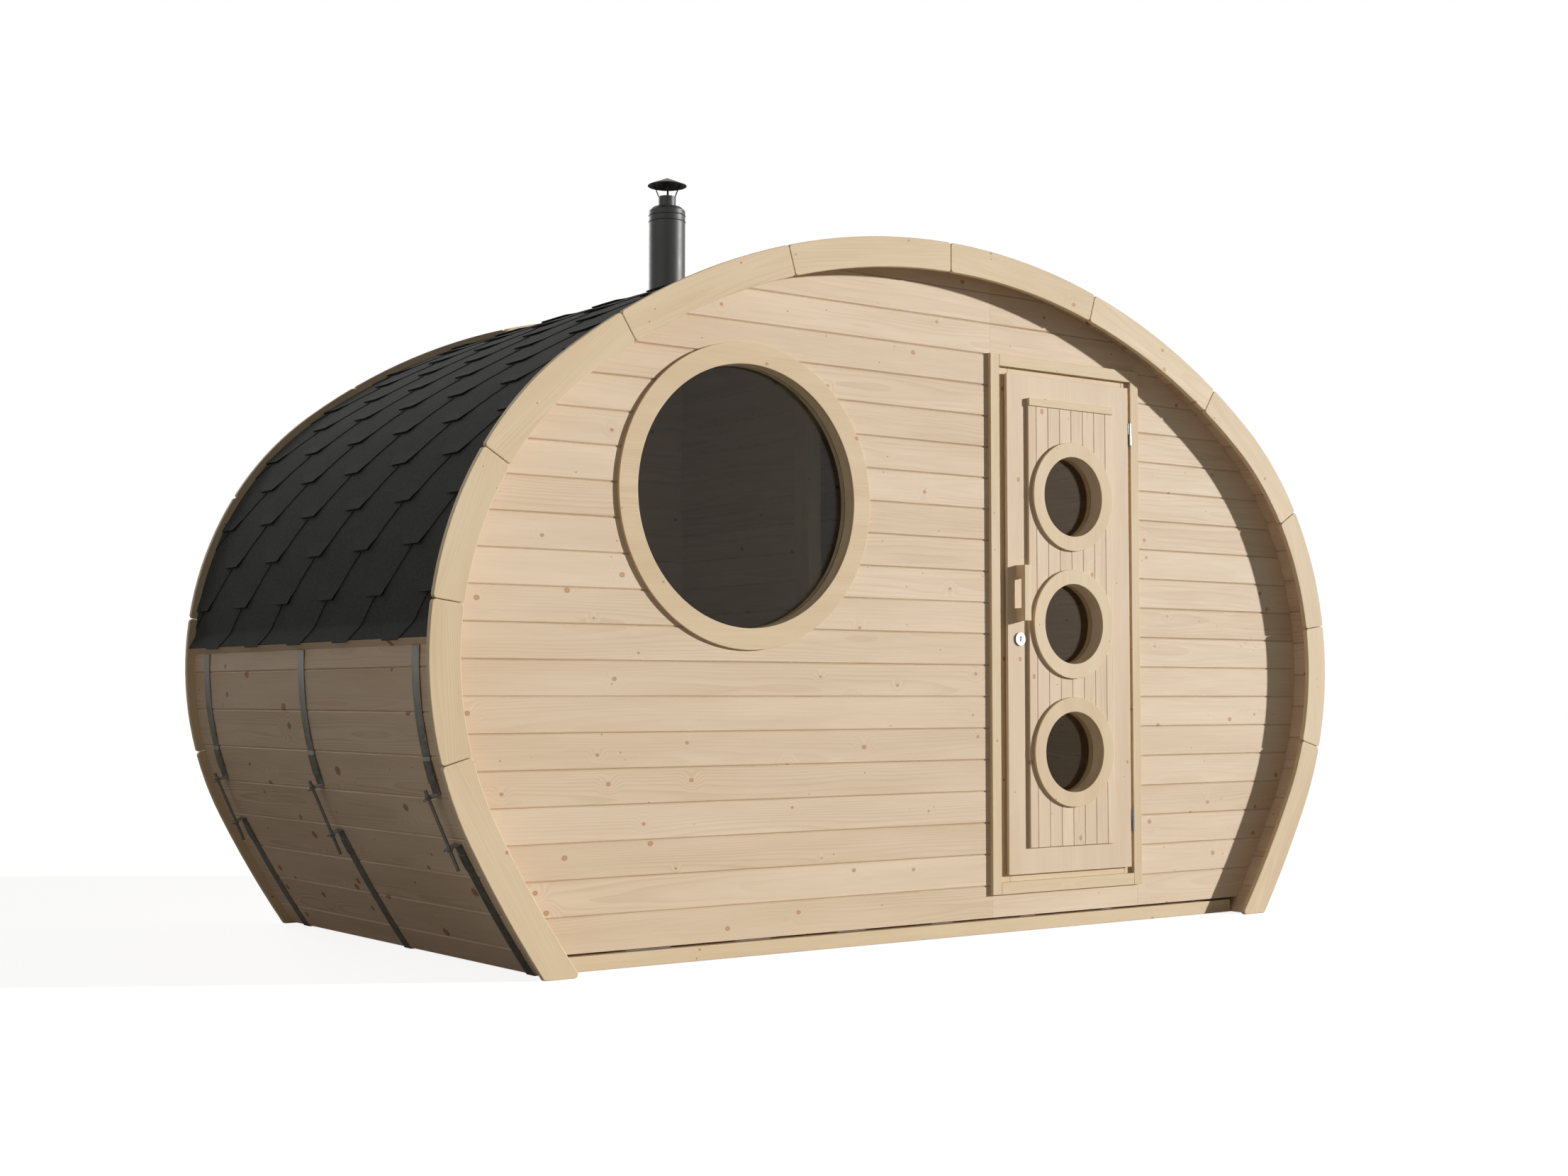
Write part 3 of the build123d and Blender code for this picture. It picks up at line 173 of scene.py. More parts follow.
def planed_spruce(name, pale, warm, brown, heart, ring_share, knot_reach):
    """Planed spruce without a finish: a pale, faintly pink-yellow timber. The eye sees soft growth lines that
    bow round knots, a different tone on every board, and small brown knots with a dark rim."""
    material, shader = new_material(name)
    grain = add(material, "ShaderNodeAttribute", attribute_name="grain").outputs["Vector"]
    tone = add(material, "ShaderNodeAttribute", attribute_name="tone").outputs["Fac"]

    # About a dozen knots to the square metre, each a spike through the board
    drawn_out = add(material, "ShaderNodeMapping", {"Vector": grain, "Scale": (0.8, 1, 1)})
    knots = add(material, "ShaderNodeTexVoronoi", {"Vector": drawn_out.outputs[0], "Scale": 1 / KNOT_CELL},
                voronoi_dimensions="2D")
    knot_dice = add(material, "ShaderNodeSeparateColor", {"Color": knots.outputs["Color"]})
    radius = add(material, "ShaderNodeMapRange",
                 {"Value": knot_dice.outputs[0], "To Min": KNOT_LEAST / KNOT_CELL,
                  "To Max": knot_reach / KNOT_CELL})
    share = add(material, "ShaderNodeMath", {0: knots.outputs["Distance"], 1: radius.outputs[0]},
                operation="DIVIDE").outputs[0]
    knot = add(material, "ShaderNodeMapRange",
               {"Value": share, "From Min": 0.75, "From Max": 1.3, "To Min": 1.0, "To Max": 0.0},
               interpolation_type="SMOOTHSTEP").outputs[0]
    rim = add(material, "ShaderNodeMapRange",
              {"Value": share, "From Min": 0.3, "From Max": 0.9, "To Min": 0.0, "To Max": 1.0},
              interpolation_type="SMOOTHSTEP").outputs[0]

    # Growth rings about 5 mm apart, drawn twice as coarse as real so that they show, and bowed by the knots
    near = add(material, "ShaderNodeMapRange",
               {"Value": share, "From Min": 0.0, "From Max": 7.0, "To Min": 1.9 * KNOT_CELL, "To Max": 0.0},
               interpolation_type="SMOOTHSTEP").outputs[0]
    bow = add(material, "ShaderNodeMath", {0: near, 1: radius.outputs[0]}, operation="MULTIPLY").outputs[0]
    lazy = add(material, "ShaderNodeMapping", {"Vector": grain, "Scale": (0.9, 5, 5)})
    sway = add(material, "ShaderNodeTexNoise", {"Vector": lazy.outputs[0], "Scale": 1.0, "Detail": 2.0})
    swayed = add(material, "ShaderNodeVectorMath",
                 {0: sway.outputs["Color"], 1: (0.0, RING_SWAY, RING_SWAY)}, operation="MULTIPLY")
    across = add(material, "ShaderNodeVectorMath", {0: grain, 1: (0.0, 1.0, 1.0)}, operation="MULTIPLY")
    bent = add(material, "ShaderNodeVectorMath", {0: across.outputs[0], 1: swayed.outputs[0]}, operation="ADD")
    from_pith = add(material, "ShaderNodeVectorMath", {0: bent.outputs[0]}, operation="LENGTH").outputs["Value"]
    bowed = add(material, "ShaderNodeMath", {0: from_pith, 1: bow}, operation="ADD").outputs[0]
    counted = add(material, "ShaderNodeMath", {0: bowed, 1: 1 / RING_GAP}, operation="MULTIPLY").outputs[0]
    season = add(material, "ShaderNodeMath", {0: counted}, operation="FRACT").outputs[0]
    late_wood = add(material, "ShaderNodeMapRange",
                    {"Value": season, "From Min": 0.35, "From Max": 0.97},
                    interpolation_type="SMOOTHSTEP").outputs[0]

    # Fibres under a millimetre across, drawn about 3 mm across so that they show
    fine = add(material, "ShaderNodeMapping", {"Vector": grain, "Scale": (6, 330, 330)})
    fibre = add(material, "ShaderNodeTexNoise", {"Vector": fine.outputs[0], "Scale": 1.0, "Detail": 3.0,
                                                  "Roughness": 0.6}).outputs["Fac"]
    wide = add(material, "ShaderNodeMapping", {"Vector": grain, "Scale": (1.6, 14, 14)})
    drift = add(material, "ShaderNodeTexNoise",
                {"Vector": wide.outputs[0], "Scale": 1.0, "Detail": 2.0}).outputs["Fac"]

    patchy = add(material, "ShaderNodeMapRange",
                 {"Value": sway.outputs["Fac"], "From Min": 0.35, "From Max": 0.65,
                  "To Min": 0.15 * ring_share, "To Max": ring_share}).outputs[0]
    ring_part = add(material, "ShaderNodeMath", {0: late_wood, 1: patchy}, operation="MULTIPLY").outputs[0]
    fibre_part = add(material, "ShaderNodeMath",
                     {0: fibre, 1: 0.5, 2: ring_part}, operation="MULTIPLY_ADD").outputs[0]
    drift_part = add(material, "ShaderNodeMath",
                     {0: drift, 1: 0.9, 2: fibre_part}, operation="MULTIPLY_ADD").outputs[0]
    tone_part = add(material, "ShaderNodeMath",
                    {0: tone, 1: 0.4, 2: drift_part}, operation="MULTIPLY_ADD").outputs[0]
    warmth = add(material, "ShaderNodeMapRange",
                 {"Value": tone_part, "From Min": 0.4, "From Max": 1.6}).outputs[0]
    wood = add(material, "ShaderNodeMix",
               {0: warmth, 6: colour(pale), 7: colour(warm)}, data_type="RGBA").outputs[2]
    knot_wood = add(material, "ShaderNodeMix", {0: rim, 6: colour(heart), 7: colour(brown)},
                    data_type="RGBA").outputs[2]
    knot_share = add(material, "ShaderNodeMath", {0: knot, 1: KNOT_SHARE}, operation="MULTIPLY").outputs[0]
    knotted = add(material, "ShaderNodeMix",
                  {0: knot_share, 6: wood, 7: knot_wood}, data_type="RGBA").outputs[2]

    # Pin knots of a few millimetres
    pins = add(material, "ShaderNodeTexVoronoi", {"Vector": grain, "Scale": 1 / PIN_KNOT_CELL})
    pin = add(material, "ShaderNodeMapRange",
              {"Value": pins.outputs["Distance"], "From Min": PIN_KNOT[0] / PIN_KNOT_CELL,
               "From Max": PIN_KNOT[1] / PIN_KNOT_CELL, "To Min": 0.8, "To Max": 0.0},
              interpolation_type="SMOOTHSTEP").outputs[0]
    pinned = add(material, "ShaderNodeMix", {0: pin, 6: knotted, 7: colour(brown)}, data_type="RGBA").outputs[2]
    connect(material, pinned, shader, "Base Color")

    rough = add(material, "ShaderNodeMapRange", {"Value": fibre, "To Min": 0.52, "To Max": 0.74}).outputs[0]
    connect(material, rough, shader, "Roughness")
    relief = add(material, "ShaderNodeMath",
                 {0: fibre, 1: 0.6, 2: late_wood}, operation="MULTIPLY_ADD").outputs[0]
    bump = add(material, "ShaderNodeBump",
               {"Height": relief, "Strength": 0.25, "Distance": 0.35 * MM}).outputs[0]
    connect(material, bump, shader, "Normal")
    return material


def slate_shingle():
    """Bitumen felt shingle surfaced with crushed slate: charcoal, dull, with a grit that the eye sees as a fine
    grain, and a slight change of tone from tab to tab."""
    material, shader = new_material("slate_surfaced_bitumen_shingle")
    place = add(material, "ShaderNodeTexCoord").outputs["Object"]
    # Slate grains of 1 to 2 mm, drawn about 4 mm across so that they show
    grit = add(material, "ShaderNodeTexVoronoi", {"Vector": place, "Scale": 1 / (4 * MM)})
    grit_tone = add(material, "ShaderNodeSeparateColor", {"Color": grit.outputs["Color"]}).outputs[0]
    patch = add(material, "ShaderNodeTexNoise",
                {"Vector": place, "Scale": 1 / (140 * MM), "Detail": 4.0}).outputs["Fac"]
    tab = add(material, "ShaderNodeAttribute", attribute_name="tone").outputs["Fac"]
    patch_part = add(material, "ShaderNodeMath",
                     {0: patch, 1: 0.7, 2: grit_tone}, operation="MULTIPLY_ADD").outputs[0]
    tab_part = add(material, "ShaderNodeMath",
                   {0: tab, 1: 0.35, 2: patch_part}, operation="MULTIPLY_ADD").outputs[0]
    share = add(material, "ShaderNodeMapRange",
                {"Value": tab_part, "From Min": 0.2, "From Max": 1.8}).outputs[0]
    grains = add(material, "ShaderNodeMix", {0: share, 6: colour(0x232421), 7: colour(0x42433D)},
                 data_type="RGBA").outputs[2]
    connect(material, grains, shader, "Base Color")
    shader.inputs["Roughness"].default_value = 0.92
    shader.inputs["Specular IOR Level"].default_value = 0.15
    bump = add(material, "ShaderNodeBump",
               {"Height": grit_tone, "Strength": 0.5, "Distance": 0.8 * MM}).outputs[0]
    connect(material, bump, shader, "Normal")
    return material


def bitumen_and_painted_shade_edges():
    """Bare bitumen on the cut edge of a shingle: near black, crumbly, a line round each tab. The near black is
    partly the bitumen's own colour and partly painted shade, darkening the butts as their shadow would.
    """
    material, shader = new_material("bitumen_edge_and_painted_butt_shade")
    place = add(material, "ShaderNodeTexCoord").outputs["Object"]
    crumb = add(material, "ShaderNodeTexNoise",
                {"Vector": place, "Scale": 1 / (5 * MM), "Detail": 3.0}).outputs["Fac"]
    # Darker than the grit face: partly real bare bitumen, partly painted shade standing in for the shadow under
    # each tab's butt
    tar = add(material, "ShaderNodeMix", {0: crumb, 6: colour(0x0D0D0C), 7: colour(0x1F1F1D)},
              data_type="RGBA").outputs[2]
    connect(material, tar, shader, "Base Color")
    shader.inputs["Roughness"].default_value = 0.85
    shader.inputs["Specular IOR Level"].default_value = 0.2
    return material


def galvanised_steel():
    """Hot-dip galvanised strap, weathered: dull olive grey with faint zinc flowers and darker streaks, which
    mirrors the floor and so looks dark where it faces down."""
    material, shader = new_material("weathered_galvanised_steel")
    place = add(material, "ShaderNodeTexCoord").outputs["Object"]
    flowers = add(material, "ShaderNodeTexVoronoi", {"Vector": place, "Scale": 1 / (9 * MM)})
    flower = add(material, "ShaderNodeSeparateColor", {"Color": flowers.outputs["Color"]}).outputs[0]
    streaks = add(material, "ShaderNodeMapping", {"Vector": place, "Scale": (60, 60, 7)})
    streak = add(material, "ShaderNodeTexNoise",
                 {"Vector": streaks.outputs[0], "Scale": 1.0, "Detail": 4.0}).outputs["Fac"]
    mixed = add(material, "ShaderNodeMath",
                {0: flower, 1: 0.35, 2: streak}, operation="MULTIPLY_ADD").outputs[0]
    share = add(material, "ShaderNodeMapRange", {"Value": mixed, "From Min": 0.35, "From Max": 1.05}).outputs[0]
    zinc = add(material, "ShaderNodeMix", {0: share, 6: colour(0x64625A), 7: colour(0x827F74)},
               data_type="RGBA").outputs[2]
    connect(material, zinc, shader, "Base Color")
    shader.inputs["Metallic"].default_value = 1.0
    rough = add(material, "ShaderNodeMapRange", {"Value": flower, "To Min": 0.42, "To Max": 0.6}).outputs[0]
    connect(material, rough, shader, "Roughness")
    return material


def bright_zinc():
    """Zinc-plated rod and nuts: a smoother grey metal than the straps, slightly uneven from handling."""
    material, shader = new_material("zinc_plated_steel")
    place = add(material, "ShaderNodeTexCoord").outputs["Object"]
    cloud = add(material, "ShaderNodeTexNoise",
                {"Vector": place, "Scale": 1 / (12 * MM), "Detail": 3.0}).outputs["Fac"]
    plating = add(material, "ShaderNodeMix", {0: cloud, 6: colour(0x72716A), 7: colour(0x908F86)},
                  data_type="RGBA").outputs[2]
    connect(material, plating, shader, "Base Color")
    shader.inputs["Metallic"].default_value = 1.0
    rough = add(material, "ShaderNodeMapRange", {"Value": cloud, "To Min": 0.32, "To Max": 0.5}).outputs[0]
    connect(material, rough, shader, "Roughness")
    return material


def satin_steel():
    """Satin stainless steel of the lock rose and hinges: bright, with fine brush lines."""
    material, shader = new_material("satin_stainless_steel")
    place = add(material, "ShaderNodeTexCoord").outputs["Object"]
    brushed = add(material, "ShaderNodeMapping", {"Vector": place, "Scale": (90, 90, 1600)})
    lines = add(material, "ShaderNodeTexNoise",
                {"Vector": brushed.outputs[0], "Scale": 1.0, "Detail": 2.0}).outputs["Fac"]
    steel = add(material, "ShaderNodeMix", {0: lines, 6: colour(0x767674), 7: colour(0x91918E)},
                data_type="RGBA").outputs[2]
    connect(material, steel, shader, "Base Color")
    shader.inputs["Metallic"].default_value = 1.0
    rough = add(material, "ShaderNodeMapRange", {"Value": lines, "To Min": 0.24, "To Max": 0.4}).outputs[0]
    connect(material, rough, shader, "Roughness")
    return material


def stove_black():
    """Heat-proof black paint on sheet steel: near black, half matt, a little mottled by heat."""
    material, shader = new_material("heatproof_black_paint")
    place = add(material, "ShaderNodeTexCoord").outputs["Object"]
    mottle = add(material, "ShaderNodeTexNoise",
                 {"Vector": place, "Scale": 1 / (45 * MM), "Detail": 4.0}).outputs["Fac"]
    paint = add(material, "ShaderNodeMix", {0: mottle, 6: colour(0x171615), 7: colour(0x2A2826)},
                data_type="RGBA").outputs[2]
    connect(material, paint, shader, "Base Color")
    rough = add(material, "ShaderNodeMapRange", {"Value": mottle, "To Min": 0.4, "To Max": 0.54}).outputs[0]
    connect(material, rough, shader, "Roughness")
    return material


def toughened_glass(name, tint, sheen, bend):
    """Toughened sheet glass: flat, tinted in the mass, dark as the dim room behind it, with a faint even sheen.
    It bends light less than the 1.5 of real glass, so that the white surroundings don't drown the room."""
    material, shader = new_material(name)
    place = add(material, "ShaderNodeTexCoord").outputs["Object"]
    wave = add(material, "ShaderNodeTexNoise",
               {"Vector": place, "Scale": 1 / (160 * MM), "Detail": 1.0}).outputs["Fac"]
    rough = add(material, "ShaderNodeMapRange", {"Value": wave, "To Min": 0.0, "To Max": 0.02}).outputs[0]
    connect(material, rough, shader, "Roughness")
    shader.inputs["Base Color"].default_value = colour(tint)
    shader.inputs["Transmission Weight"].default_value = 1.0
    shader.inputs["Specular Tint"].default_value = colour(sheen)
    shader.inputs["IOR"].default_value = bend
    return material


def boards_of(bm):
    """The vertices of each separate board."""
    seen = set()
    boards = []
    for first in bm.verts:
        if first in seen:
            continue
        seen.add(first)
        reached = [first]
        board = []
        while reached:
            vert = reached.pop()
            board.append(vert)
            for edge in vert.link_edges:
                other = edge.other_vert(vert)
                if other not in seen:
                    seen.add(other)
                    reached.append(other)
        boards.append(board)
    return boards


def lay_grain(bm, along, dice):
    """Gives each board its own place in a log: x runs with the grain, y and z lie across it."""
    grain = bm.verts.layers.float_vector.new("grain")
    tone = bm.verts.layers.float.new("tone")
    for board in boards_of(bm):
        points = np.array([vert.co for vert in board])
        middle = points.mean(axis=0)
        spread = np.cov((points - middle).T)
        if along is None:
            length = np.linalg.eigh(spread)[1][:, 2]
        else:
            length = np.array(along, dtype=float)
        flat = np.eye(3) - np.outer(length, length)
        width = np.linalg.eigh(flat @ spread @ flat)[1][:, 2]
        length, width = [axis * math.copysign(1.0, axis[np.argmax(np.abs(axis))]) for axis in (length, width)]
        axes = np.array([length, width, np.cross(length, width)])
        place = np.array([dice.uniform(*LOG_RUN), dice.uniform(*LOG_SIDE), dice.uniform(*LOG_RISE)])
        share = dice.random()
        for vert in board:
            vert[grain] = Vector(axes @ (np.array(vert.co) - middle) + place)
            vert[tone] = share


def ease(bm, arris):
    """Rounds the sharp edges as sandpaper leaves them."""
    bmesh.ops.dissolve_limit(bm, angle_limit=math.radians(FLAT_TURN), verts=bm.verts[:], edges=bm.edges[:])
    sharp = [edge for edge in bm.edges
             if len(edge.link_faces) == 2 and edge.calc_face_angle() > math.radians(ARRIS_TURN)]
    bmesh.ops.bevel(bm, geom=sharp, offset=arris, offset_type="OFFSET", affect="EDGES", segments=2,
                    profile=0.5, material=-1, clamp_overlap=False)


def round_board_ends(bm, radius):
    """Rounds the corners of the ring boards where two boards meet."""
    bmesh.ops.dissolve_limit(bm, angle_limit=math.radians(FLAT_TURN), verts=bm.verts[:], edges=bm.edges[:])
    corners = []
    for edge in bm.edges:
        along = (edge.verts[0].co - edge.verts[1].co).normalized()
        between_two = len(edge.link_faces) == 2
        if abs(along.y) > 0.99 and between_two and edge.calc_face_angle() > math.radians(CORNER_TURN):
            corners.append(edge)
    bmesh.ops.bevel(bm, geom=corners, offset=radius, offset_type="OFFSET", affect="EDGES", segments=3,
                    profile=0.5, material=-1, clamp_overlap=False)


def make_piece(name, bm, body, slot, *materials):
    """Turns a finished shape into a piece of the object."""
    mesh = bpy.data.meshes.new(name)
    bm.to_mesh(mesh)
    bm.free()
    for material in materials:
        mesh.materials.append(material)
    if "custom_normal" in mesh.attributes:
        mesh.attributes.remove(mesh.attributes["custom_normal"])
    mesh.shade_smooth()
    mesh.set_sharp_from_angle(angle=math.radians(SMOOTH_TURN))
    piece = bpy.data.objects.new(name, mesh)
    bpy.context.scene.collection.objects.link(piece)
    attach(piece, body)
    return piece


def set_depth(bm, depths):
    """Moves the flat end of a shape from one depth to another."""
    for vert in bm.verts:
        if abs(vert.co.y - depths[0]) < SAME_DEPTH:
            vert.co.y = depths[1]


def timber(node, material, along=None, arris=0.0, board_end=0.0, depths=None):
    """Stands for a CAD node of boards, with its edges eased and the grain of each board its own."""
    bm = bmesh.new()
    bm.from_mesh(nodes[node].data)
    bmesh.ops.remove_doubles(bm, verts=bm.verts[:], dist=WELD)
    if depths:
        set_depth(bm, depths)
    if board_end:
        round_board_ends(bm, board_end)
    if arris:
        ease(bm, arris)
    lay_grain(bm, along, random.Random(node))
    piece = make_piece(node + "_timber", bm, body_of_node[node], slot_of_node[node], material)
    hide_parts(node)


def finish_node(node, material):
    """Gives a CAD node its material."""
    node_object = nodes[node]
    if not node_object.material_slots:
        node_object.data.materials.append(material)
    for holder in node_object.material_slots:
        holder.link = "OBJECT"
        holder.material = material


def roof_place(run, lift, side, y):
    """Point on the roof at a distance from the crown down the slope, and a height over the staves."""
    crown_run = CROWN_RADIUS * CROWN_TURN
    if run <= crown_run:
        turn = run / CROWN_RADIUS
        reach = CROWN_RADIUS + lift
        return Vector((side * reach * math.sin(turn), y, CROWN_CENTRE_Z + reach * math.cos(turn)))
    turn = CROWN_TURN + (min(run, FLARE_RUN) - crown_run) / SIDE_RADIUS
    x = SIDE_CENTRE_X + SIDE_RADIUS * math.sin(turn)
    z = SIDE_CENTRE_Z + SIDE_RADIUS * math.cos(turn)
    if run > FLARE_RUN:
        bend = min((run - FLARE_RUN) / FLARE_RADIUS, FLARE_TURN)
        x += FLARE_RADIUS * (math.sin(turn) - math.sin(turn - bend))
        z += FLARE_RADIUS * (math.cos(turn) - math.cos(turn - bend))
        turn -= bend
        straight = max(run - FLARE_RUN - FLARE_RADIUS * FLARE_TURN, 0.0)
        x += straight * math.cos(turn)
        z -= straight * math.sin(turn)
    return Vector((side * (x + lift * math.sin(turn)), y, z + lift * math.cos(turn)))


def torn_line(start, end, dice):
    """Points from one corner of a tab to the next, a little ragged as the felt is cut."""
    length = math.dist(start, end)
    count = max(int(length / TORN_EDGE_STEP), 1)
    line = []
    for step in range(count):
        share = step / count
        off = dice.uniform(-TORN_EDGE_DEPTH, TORN_EDGE_DEPTH) if step else 0.0
        y = start[0] + share * (end[0] - start[0]) - off * (end[1] - start[1]) / length
        run = start[1] + share * (end[1] - start[1]) + off * (end[0] - start[0]) / length
        line.append((y, run))
    return line


def tabbed_outline(butt_run, top_run, tab_middle, dice):
    """Outline of one course laid flat: straight at its head, hexagon tabs at its foot."""
    slant = (TAB_PITCH - TAB_FLAT) / 2
    notch_run = butt_run - COURSE_EXPOSURE
    corners = []
    first = tab_middle - TAB_PITCH * math.ceil((tab_middle + STAVE_END_Y) / TAB_PITCH + 1)
    while first < STAVE_END_Y + TAB_PITCH:
        corners += [(first - TAB_FLAT / 2 - slant, notch_run), (first - TAB_FLAT / 2, butt_run),
                    (first + TAB_FLAT / 2, butt_run)]
        first += TAB_PITCH
    outline = []
    for start, end in zip(corners, corners[1:]):
        ragged = abs(start[1] - end[1]) > 1 * MM
        outline += torn_line(start, end, dice) if ragged else [start]
    outline.append(corners[-1])
    outline += [(corners[-1][0], top_run), (corners[0][0], top_run)]
    return outline


def darken_cut_edges_as_bitumen_and_shade(bm):
    """Puts the upright faces of a flat sheet in the second material, whose near black is partly the bitumen's
    own colour and partly painted shade on the butts.
    """
    bm.normal_update()
    for face in bm.faces:
        face.material_index = int(abs(face.normal.z) < 0.5)


def cut_for_chimney(bm):
    """Takes the chimney's square hole out of a flat sheet."""
    for side in (-CHIMNEY_HOLE_HALF, CHIMNEY_HOLE_HALF):
        for place, across in (((CHIMNEY_Y + side, 0, 0), (1, 0, 0)), ((0, -CHIMNEY_RUN + side, 0), (0, 1, 0))):
            bmesh.ops.bisect_plane(bm, geom=bm.verts[:] + bm.edges[:] + bm.faces[:],
                                   plane_co=place, plane_no=across)
    hole = []
    for face in bm.faces:
        middle = face.calc_center_median()
        if max(abs(middle.x - CHIMNEY_Y), abs(middle.y + CHIMNEY_RUN)) < CHIMNEY_HOLE_HALF:
            hole.append(face)
    bmesh.ops.delete(bm, geom=hole, context="FACES")


def lay_course(outline, side, butt_run, highest, curl):
    """One sheet of the covering, cut to its outline, trimmed to the roof's ends and bent over the staves. Its
    tabs lift a little at their feet, and its cut edges take the second material."""
    bm = bmesh.new()
    bm.faces.new([bm.verts.new((y, -run, 0.0)) for y, run in outline])
    for end in (-1, 1):
        bmesh.ops.bisect_plane(bm, geom=bm.verts[:] + bm.edges[:] + bm.faces[:],
                               plane_co=(end * STAVE_END_Y, 0, 0), plane_no=(end, 0, 0), clear_outer=True)
    runs = [-vert.co.y for vert in bm.verts]
    cut = min(runs)
    while cut < max(runs):
        cut += FLARE_STEP if cut > FLARE_RUN - BEND_STEP else BEND_STEP
        bmesh.ops.bisect_plane(bm, geom=bm.verts[:] + bm.edges[:] + bm.faces[:], plane_co=(0, -cut, 0),
                               plane_no=(0, 1, 0))
    if side < 0 and min(runs) < CHIMNEY_RUN + CHIMNEY_HOLE_HALF:
        cut_for_chimney(bm)
    sheet = bmesh.ops.extrude_face_region(bm, geom=bm.faces[:])["geom"]
    upper = [part for part in sheet if isinstance(part, bmesh.types.BMVert)]
    bmesh.ops.translate(bm, verts=upper, vec=(0, 0, SHINGLE_THICKNESS))
    darken_cut_edges_as_bitumen_and_shade(bm)
    for vert in bm.verts:
        y, run = vert.co.x, -vert.co.y
        lapped = (SHINGLE_HEIGHT - (butt_run - run)) / COURSE_EXPOSURE * SHINGLE_THICKNESS
        foot = max(1 - (butt_run - run) / CURL_REACH, 0.0) * (1.0 if vert.co.z else CURL_UNDERSIDE_SHARE)
        lift = min(max(lapped, 0.0), highest) + LAP_SLACK + vert.co.z + curl * foot
        vert.co = roof_place(run, lift, side, y)
    bmesh.ops.recalc_face_normals(bm, faces=bm.faces[:])
    return bm


def add_to(whole, part, share):
    """Adds one sheet to a roof slope, with its own tone."""
    mesh = bpy.data.meshes.new("sheet")
    part.to_mesh(mesh)
    part.free()
    known = len(whole.verts)
    whole.from_mesh(mesh)
    bpy.data.meshes.remove(mesh)
    whole.verts.ensure_lookup_table()
    tone = whole.verts.layers.float["tone"]
    for vert in whole.verts[known:]:
        vert[tone] = share


def roof_slope(side):
    """Starter strip and courses of hexagon shingles from the eaves to the ridge on one side."""
    dice = random.Random(side + 5)
    whole = bmesh.new()
    whole.verts.layers.float.new("tone")
    head = STARTER_EDGE_RUN - COURSE_EXPOSURE
    wide = STAVE_END_Y + TAB_PITCH
    starter = [(-wide, STARTER_EDGE_RUN), (wide, STARTER_EDGE_RUN), (wide, head), (-wide, head)]
    add_to(whole, lay_course(starter, side, STARTER_EDGE_RUN, 0.0, 0.0), 0.5)
    eaves = tabbed_outline(EAVES_BUTT_RUN, EAVES_BUTT_RUN - SHINGLE_HEIGHT, EVEN_TAB_MIDDLE, dice)
    add_to(whole, lay_course(eaves, side, EAVES_BUTT_RUN, SHINGLE_THICKNESS + LAP_SLACK, 0.0), dice.random())
    for course in range(1, COURSE_COUNT):
        butt_run = SECOND_BUTT_RUN - (course - 1) * COURSE_EXPOSURE
        top_run = max(butt_run - SHINGLE_HEIGHT, 0.0)
        tab_middle = ODD_TAB_MIDDLE if course % 2 else EVEN_TAB_MIDDLE
        outline = tabbed_outline(butt_run, top_run, tab_middle, dice)
        curl = TAB_CURL if butt_run > CURLED_FROM_RUN else 0.0
        add_to(whole, lay_course(outline, side, butt_run, 3 * SHINGLE_THICKNESS, curl), dice.random())
    return whole


def ridge_caps():
    """Cap shingles bent over the crown, each lapped on the one behind it."""
    dice = random.Random(31)
    whole = bmesh.new()
    whole.verts.layers.float.new("tone")
    count = math.ceil(2 * STAVE_END_Y / RIDGE_CAP_EXPOSURE)
    exposure = 2 * STAVE_END_Y / count
    for cap in range(count):
        front = -STAVE_END_Y + cap * exposure
        back = min(front + 2.0 * exposure, STAVE_END_Y)
        bm = bmesh.new()
        half = RIDGE_CAP_REACH - dice.uniform(0, RIDGE_CAP_UNEVENNESS)
        corners = [(-half, front), (half, front), (half, back), (-half, back)]
        bm.faces.new([bm.verts.new((x, y, 0.0)) for x, y in corners])
        for cut in range(-3, 4):
            bmesh.ops.bisect_plane(bm, geom=bm.verts[:] + bm.edges[:] + bm.faces[:],
                                   plane_co=(cut * BEND_STEP, 0, 0), plane_no=(1, 0, 0))
        sheet = bmesh.ops.extrude_face_region(bm, geom=bm.faces[:])["geom"]
        upper = [part for part in sheet if isinstance(part, bmesh.types.BMVert)]
        bmesh.ops.translate(bm, verts=upper, vec=(0, 0, SHINGLE_THICKNESS))
        darken_cut_edges_as_bitumen_and_shade(bm)
        for vert in bm.verts:
            x, y, layer = vert.co
            lapped = SHINGLE_THICKNESS * (1 - (y - front) / exposure)
            lift = RIDGE_CAP_LIFT + max(lapped, -SHINGLE_THICKNESS) + layer
            vert.co = roof_place(abs(x), lift, math.copysign(1, x), y)
        bmesh.ops.recalc_face_normals(bm, faces=bm.faces[:])
        add_to(whole, bm, dice.random())
    return whole


def shingle_roof():
    """The whole covering, for the CAD's plain courses."""
    face, edge = slate_shingle(), bitumen_and_painted_shade_edges()
    pieces = [make_piece("shingles_left", roof_slope(-1), "hut", "bitumen_shingle", face, edge),
              make_piece("shingles_right", roof_slope(1), "hut", "bitumen_shingle", face, edge),
              make_piece("ridge_caps", ridge_caps(), "hut", "bitumen_shingle", face, edge)]
    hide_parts("roof_covering")


